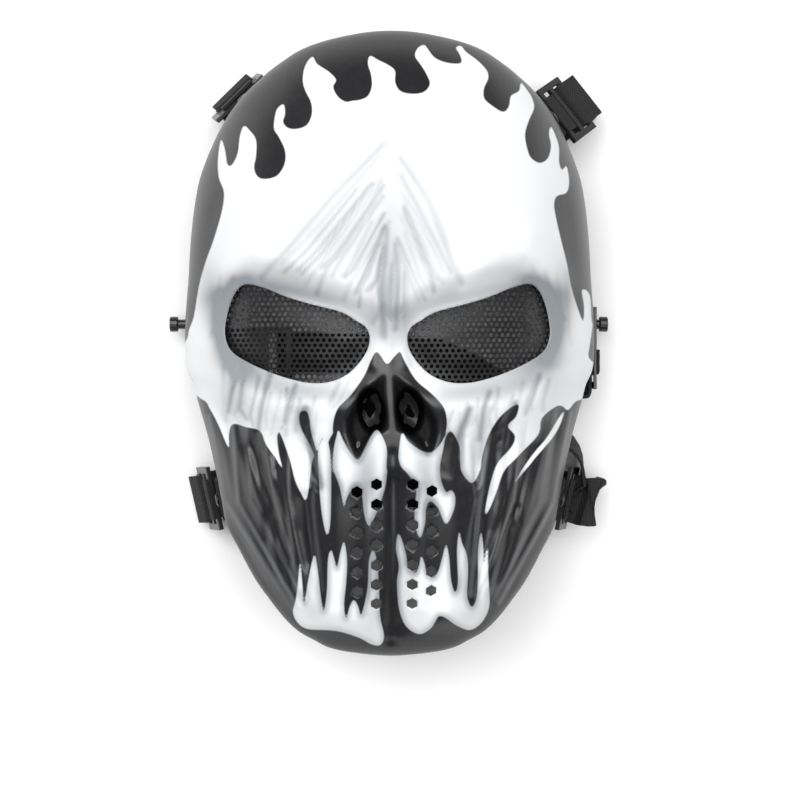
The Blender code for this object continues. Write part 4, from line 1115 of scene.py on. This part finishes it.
def shell_material():
    """White paint over black plastic, with painted shade in the hollows, sockets and nose, and painted
    highlights on the black.
    """
    material, tree, shader = node_material("painted_shell")
    grain = add_grain(tree, shader, SHELL_GRAIN, SHELL_GRAIN_STRENGTH)

    def value(name):
        node = tree.nodes.new("ShaderNodeAttribute")
        node.attribute_name = name
        return node.outputs["Fac"]

    def ranged(name, low, high, first, last):
        node = tree.nodes.new("ShaderNodeMapRange")
        node.interpolation_type = "SMOOTHSTEP"
        set_inputs(node, From_Min=low, From_Max=high, To_Min=first, To_Max=last)
        tree.links.new(value(name), node.inputs["Value"])
        return node.outputs["Result"]

    # The white is greyed by painted shade in the sockets, creases and hollows, and by the grey veil and thin
    # paint.
    white = colour_mix(tree, value("grey"), WHITE_PAINT, GREY_PAINT_AND_SHADE)
    plastic = colour_mix(tree, grain, PLASTIC_DARK, PLASTIC_LIGHT)
    # A painted highlight lightens the black on the fibre crests and on the breath holes' rims.
    painted_highlight = ranged("crest_highlight", CREST_FROM, 1.0, 0.0, CREST_SHARE)
    highlighted_plastic = colour_mix(tree, painted_highlight, plastic, PAINTED_HIGHLIGHT_GREY)
    # Painted shade darkens the black in the nose cavity and nostrils; the same values make it rougher and
    # duller.
    black = colour_mix(tree, value("painted_cavity_shade"), highlighted_plastic, PAINTED_SHADE_BLACK)
    covered = ranged("paint", -PAINT_EDGE, PAINT_EDGE, 0.0, 1.0)
    tree.links.new(colour_mix(tree, covered, black, white), shader.inputs["Base Color"])
    finish = ranged("paint", -PAINT_EDGE, PAINT_EDGE, PLASTIC_ROUGH, PAINT_ROUGH)
    tree.links.new(two_values(tree, "MAXIMUM", finish, value("painted_cavity_shade")), shader.inputs["Roughness"])
    tree.links.new(ranged("painted_cavity_shade", 0.0, 1.0, SHELL_GLINT, 0.0), shader.inputs["Specular IOR Level"])
    return material


# The black finishes of the small pieces: darkest and lightest tone, how rough and how metallic they are, and
# how fine and strong their grain is.
Finish = namedtuple("Finish", "slot dark light roughness metallic grain strength")
LENS_STEEL, BUCKLE_PLASTIC, RIVET_METAL = table(
    Finish,
    ("lens_steel", PLASTIC_DARK, PLASTIC_LIGHT, 0.48, 0.3, 900.0, 0.10),
    ("buckle_plastic", (0.008, 0.008, 0.009), (0.022, 0.022, 0.024), 0.32, 0.0, 700.0, 0.08),
    ("rivet_metal", (0.015, 0.015, 0.016), (0.045, 0.045, 0.048), 0.28, 0.7, 800.0, 0.06),
)


def plain_material(finish):
    """A black finish whose tone and grain vary a little."""
    material, tree, shader = node_material(finish.slot)
    grain = add_grain(tree, shader, finish.grain, finish.strength)
    tree.links.new(colour_mix(tree, grain, finish.dark, finish.light), shader.inputs["Base Color"])
    set_inputs(shader, Roughness=finish.roughness, Metallic=finish.metallic)
    return material


RIB_SCALE = 260.0
RIB_WANDER = 0.4
RIB_STRENGTH = 0.6
RIB_HEIGHT = 0.0005
WEBBING_DARK = (0.008, 0.008, 0.009)
WEBBING_LIGHT = (0.030, 0.030, 0.032)
WEBBING_ROUGH = 0.85


def webbing_material():
    """Black woven elastic: fine crossing ribs."""
    material, tree, shader = node_material("webbing")
    place = tree.nodes.new("ShaderNodeTexCoord")
    ribs = []
    for direction in ("X", "Y"):
        wave = tree.nodes.new("ShaderNodeTexWave")
        wave.bands_direction = direction
        set_inputs(wave, Scale=RIB_SCALE, Distortion=RIB_WANDER)
        tree.links.new(place.outputs["Object"], wave.inputs["Vector"])
        ribs.append(wave.outputs["Fac"])
    weave = two_values(tree, "MULTIPLY", *ribs)
    bump_from(tree, shader, weave, RIB_STRENGTH, RIB_HEIGHT)
    tree.links.new(colour_mix(tree, weave, WEBBING_DARK, WEBBING_LIGHT), shader.inputs["Base Color"])
    set_inputs(shader, Roughness=WEBBING_ROUGH)
    return material


# How much each edge is rounded, in metres, and from what angle on.
BEVEL_WIDTH = 0.0004
FINE_BEVEL = 0.0003
BEVEL_FROM = math.radians(35)
WELD_WITHIN = 0.00001


def stand_for(made, node_name):
    """Lets a piece replace a solid of the part."""
    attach(made, "root")
    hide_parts(node_name)


def dressed_copy(node_name, material, bevel=BEVEL_WIDTH):
    """A piece with the solid's own form, its edges softened, in its finish."""
    node = bpy.data.objects[node_name]
    made = new_object("dressed_" + node_name, node.data.copy())
    made.matrix_world = node.matrix_world
    made.data.materials.clear()
    made.data.materials.append(material)
    weld = made.modifiers.new("weld", "WELD")
    weld.merge_threshold = WELD_WITHIN
    soften = made.modifiers.new("soften", "BEVEL")
    soften.width = bevel
    soften.segments = 2
    soften.limit_method = "ANGLE"
    soften.angle_limit = BEVEL_FROM
    stand_for(made, node_name)


def dress():
    shell = dressed_shell(shell_material())
    stand_for(shell, "shell")
    steel = plain_material(LENS_STEEL)
    for name, side in (("left", -1), ("right", 1)):
        lens = dressed_lens("pierced_lens_" + name, side, steel)
        stand_for(lens, "eye_mesh_" + name)
    plastic = plain_material(BUCKLE_PLASTIC)
    rivet = plain_material(RIVET_METAL)
    webbing = webbing_material()
    for corner in ("top_left", "top_right", "neck_left", "neck_right"):
        dressed_copy("buckle_" + corner, plastic)
        dressed_copy("tab_" + corner, webbing, FINE_BEVEL)
        dressed_copy("rivet_" + corner, rivet, FINE_BEVEL)
    for side in ("left", "right"):
        dressed_copy("stud_" + side, plastic, FINE_BEVEL)
        dressed_copy("hook_plate_" + side, plastic)
    for strap in ("strap_top", "strap_side", "strap_neck"):
        dressed_copy(strap, webbing, FINE_BEVEL)


# The stage and the camera, in metres but for the lens and its sensor.
FLOOR_HALF = 3.0
FLOOR_DROP = 0.0006
FLOOR_TONES = ((0.95, 0.95, 0.95), (0.98, 0.98, 0.98))
FLOOR_PATCHES = 3.0
FLOOR_ROUGH = 0.9
STUDIO_WHITE = (1.0, 1.0, 1.0, 1.0)
STUDIO_STRENGTH = 0.12
LAMP_AIM = (0.0, 0.0, 0.05)
Lamp = namedtuple("Lamp", "name x y z size watts")
LAMPS = table(
    Lamp,
    ("top", 0.0, 0.3, 2.2, 2.0, 48.0),
    ("key", -0.8, 0.5, 1.5, 1.0, 13.0),
    ("fill", 1.0, 0.0, 1.5, 1.0, 6.0),
)
CAMERA_SENSOR = 36.0
CAMERA_LENS = 69.9
CAMERA_SHIFT_X = 0.0512
CAMERA_SHIFT_Y = -0.07


def stage_and_light():
    """A pale floor under the mask, soft studio light, and the camera over the face."""
    half = FLOOR_HALF
    corners = [(x, y, -FLOOR_DROP) for x, y in ((-half, -half), (half, -half), (half, half), (-half, half))]
    floor_mesh = bpy.data.meshes.new("floor")
    floor_mesh.from_pydata(corners, [], [(0, 1, 2, 3)])
    floor = new_object("floor", floor_mesh)
    material, tree, shader = node_material("pale_floor")
    noise = set_inputs(tree.nodes.new("ShaderNodeTexNoise"), Scale=FLOOR_PATCHES)
    tree.links.new(colour_mix(tree, noise.outputs["Fac"], *FLOOR_TONES), shader.inputs["Base Color"])
    set_inputs(shader, Roughness=FLOOR_ROUGH)
    floor_mesh.materials.append(material)
    world = bpy.data.worlds.new("studio")
    world.use_nodes = True
    set_inputs(world.node_tree.nodes["Background"], Color=STUDIO_WHITE, Strength=STUDIO_STRENGTH)
    bpy.context.scene.world = world
    for lamp in LAMPS:
        data = bpy.data.lights.new(lamp.name, "AREA")
        data.size = lamp.size
        data.energy = lamp.watts
        made = new_object(lamp.name, data)
        made.location = (lamp.x, lamp.y, lamp.z)
        made.rotation_mode = "QUATERNION"
        made.rotation_quaternion = (Vector(LAMP_AIM) - made.location).to_track_quat("-Z", "Y")
    camera_data = bpy.data.cameras.new("front_camera")
    camera_data.sensor_width = CAMERA_SENSOR
    camera_data.lens = CAMERA_LENS
    camera_data.shift_x = CAMERA_SHIFT_X
    camera_data.shift_y = CAMERA_SHIFT_Y
    camera = new_object("front_camera", camera_data)
    camera.location = (EYE_X * MILLIMETRE, 0.0, EYE_FAR * MILLIMETRE)
    bpy.context.scene.camera = camera
    bpy.context.scene.view_settings.view_transform = "Standard"


dress()
stage_and_light()
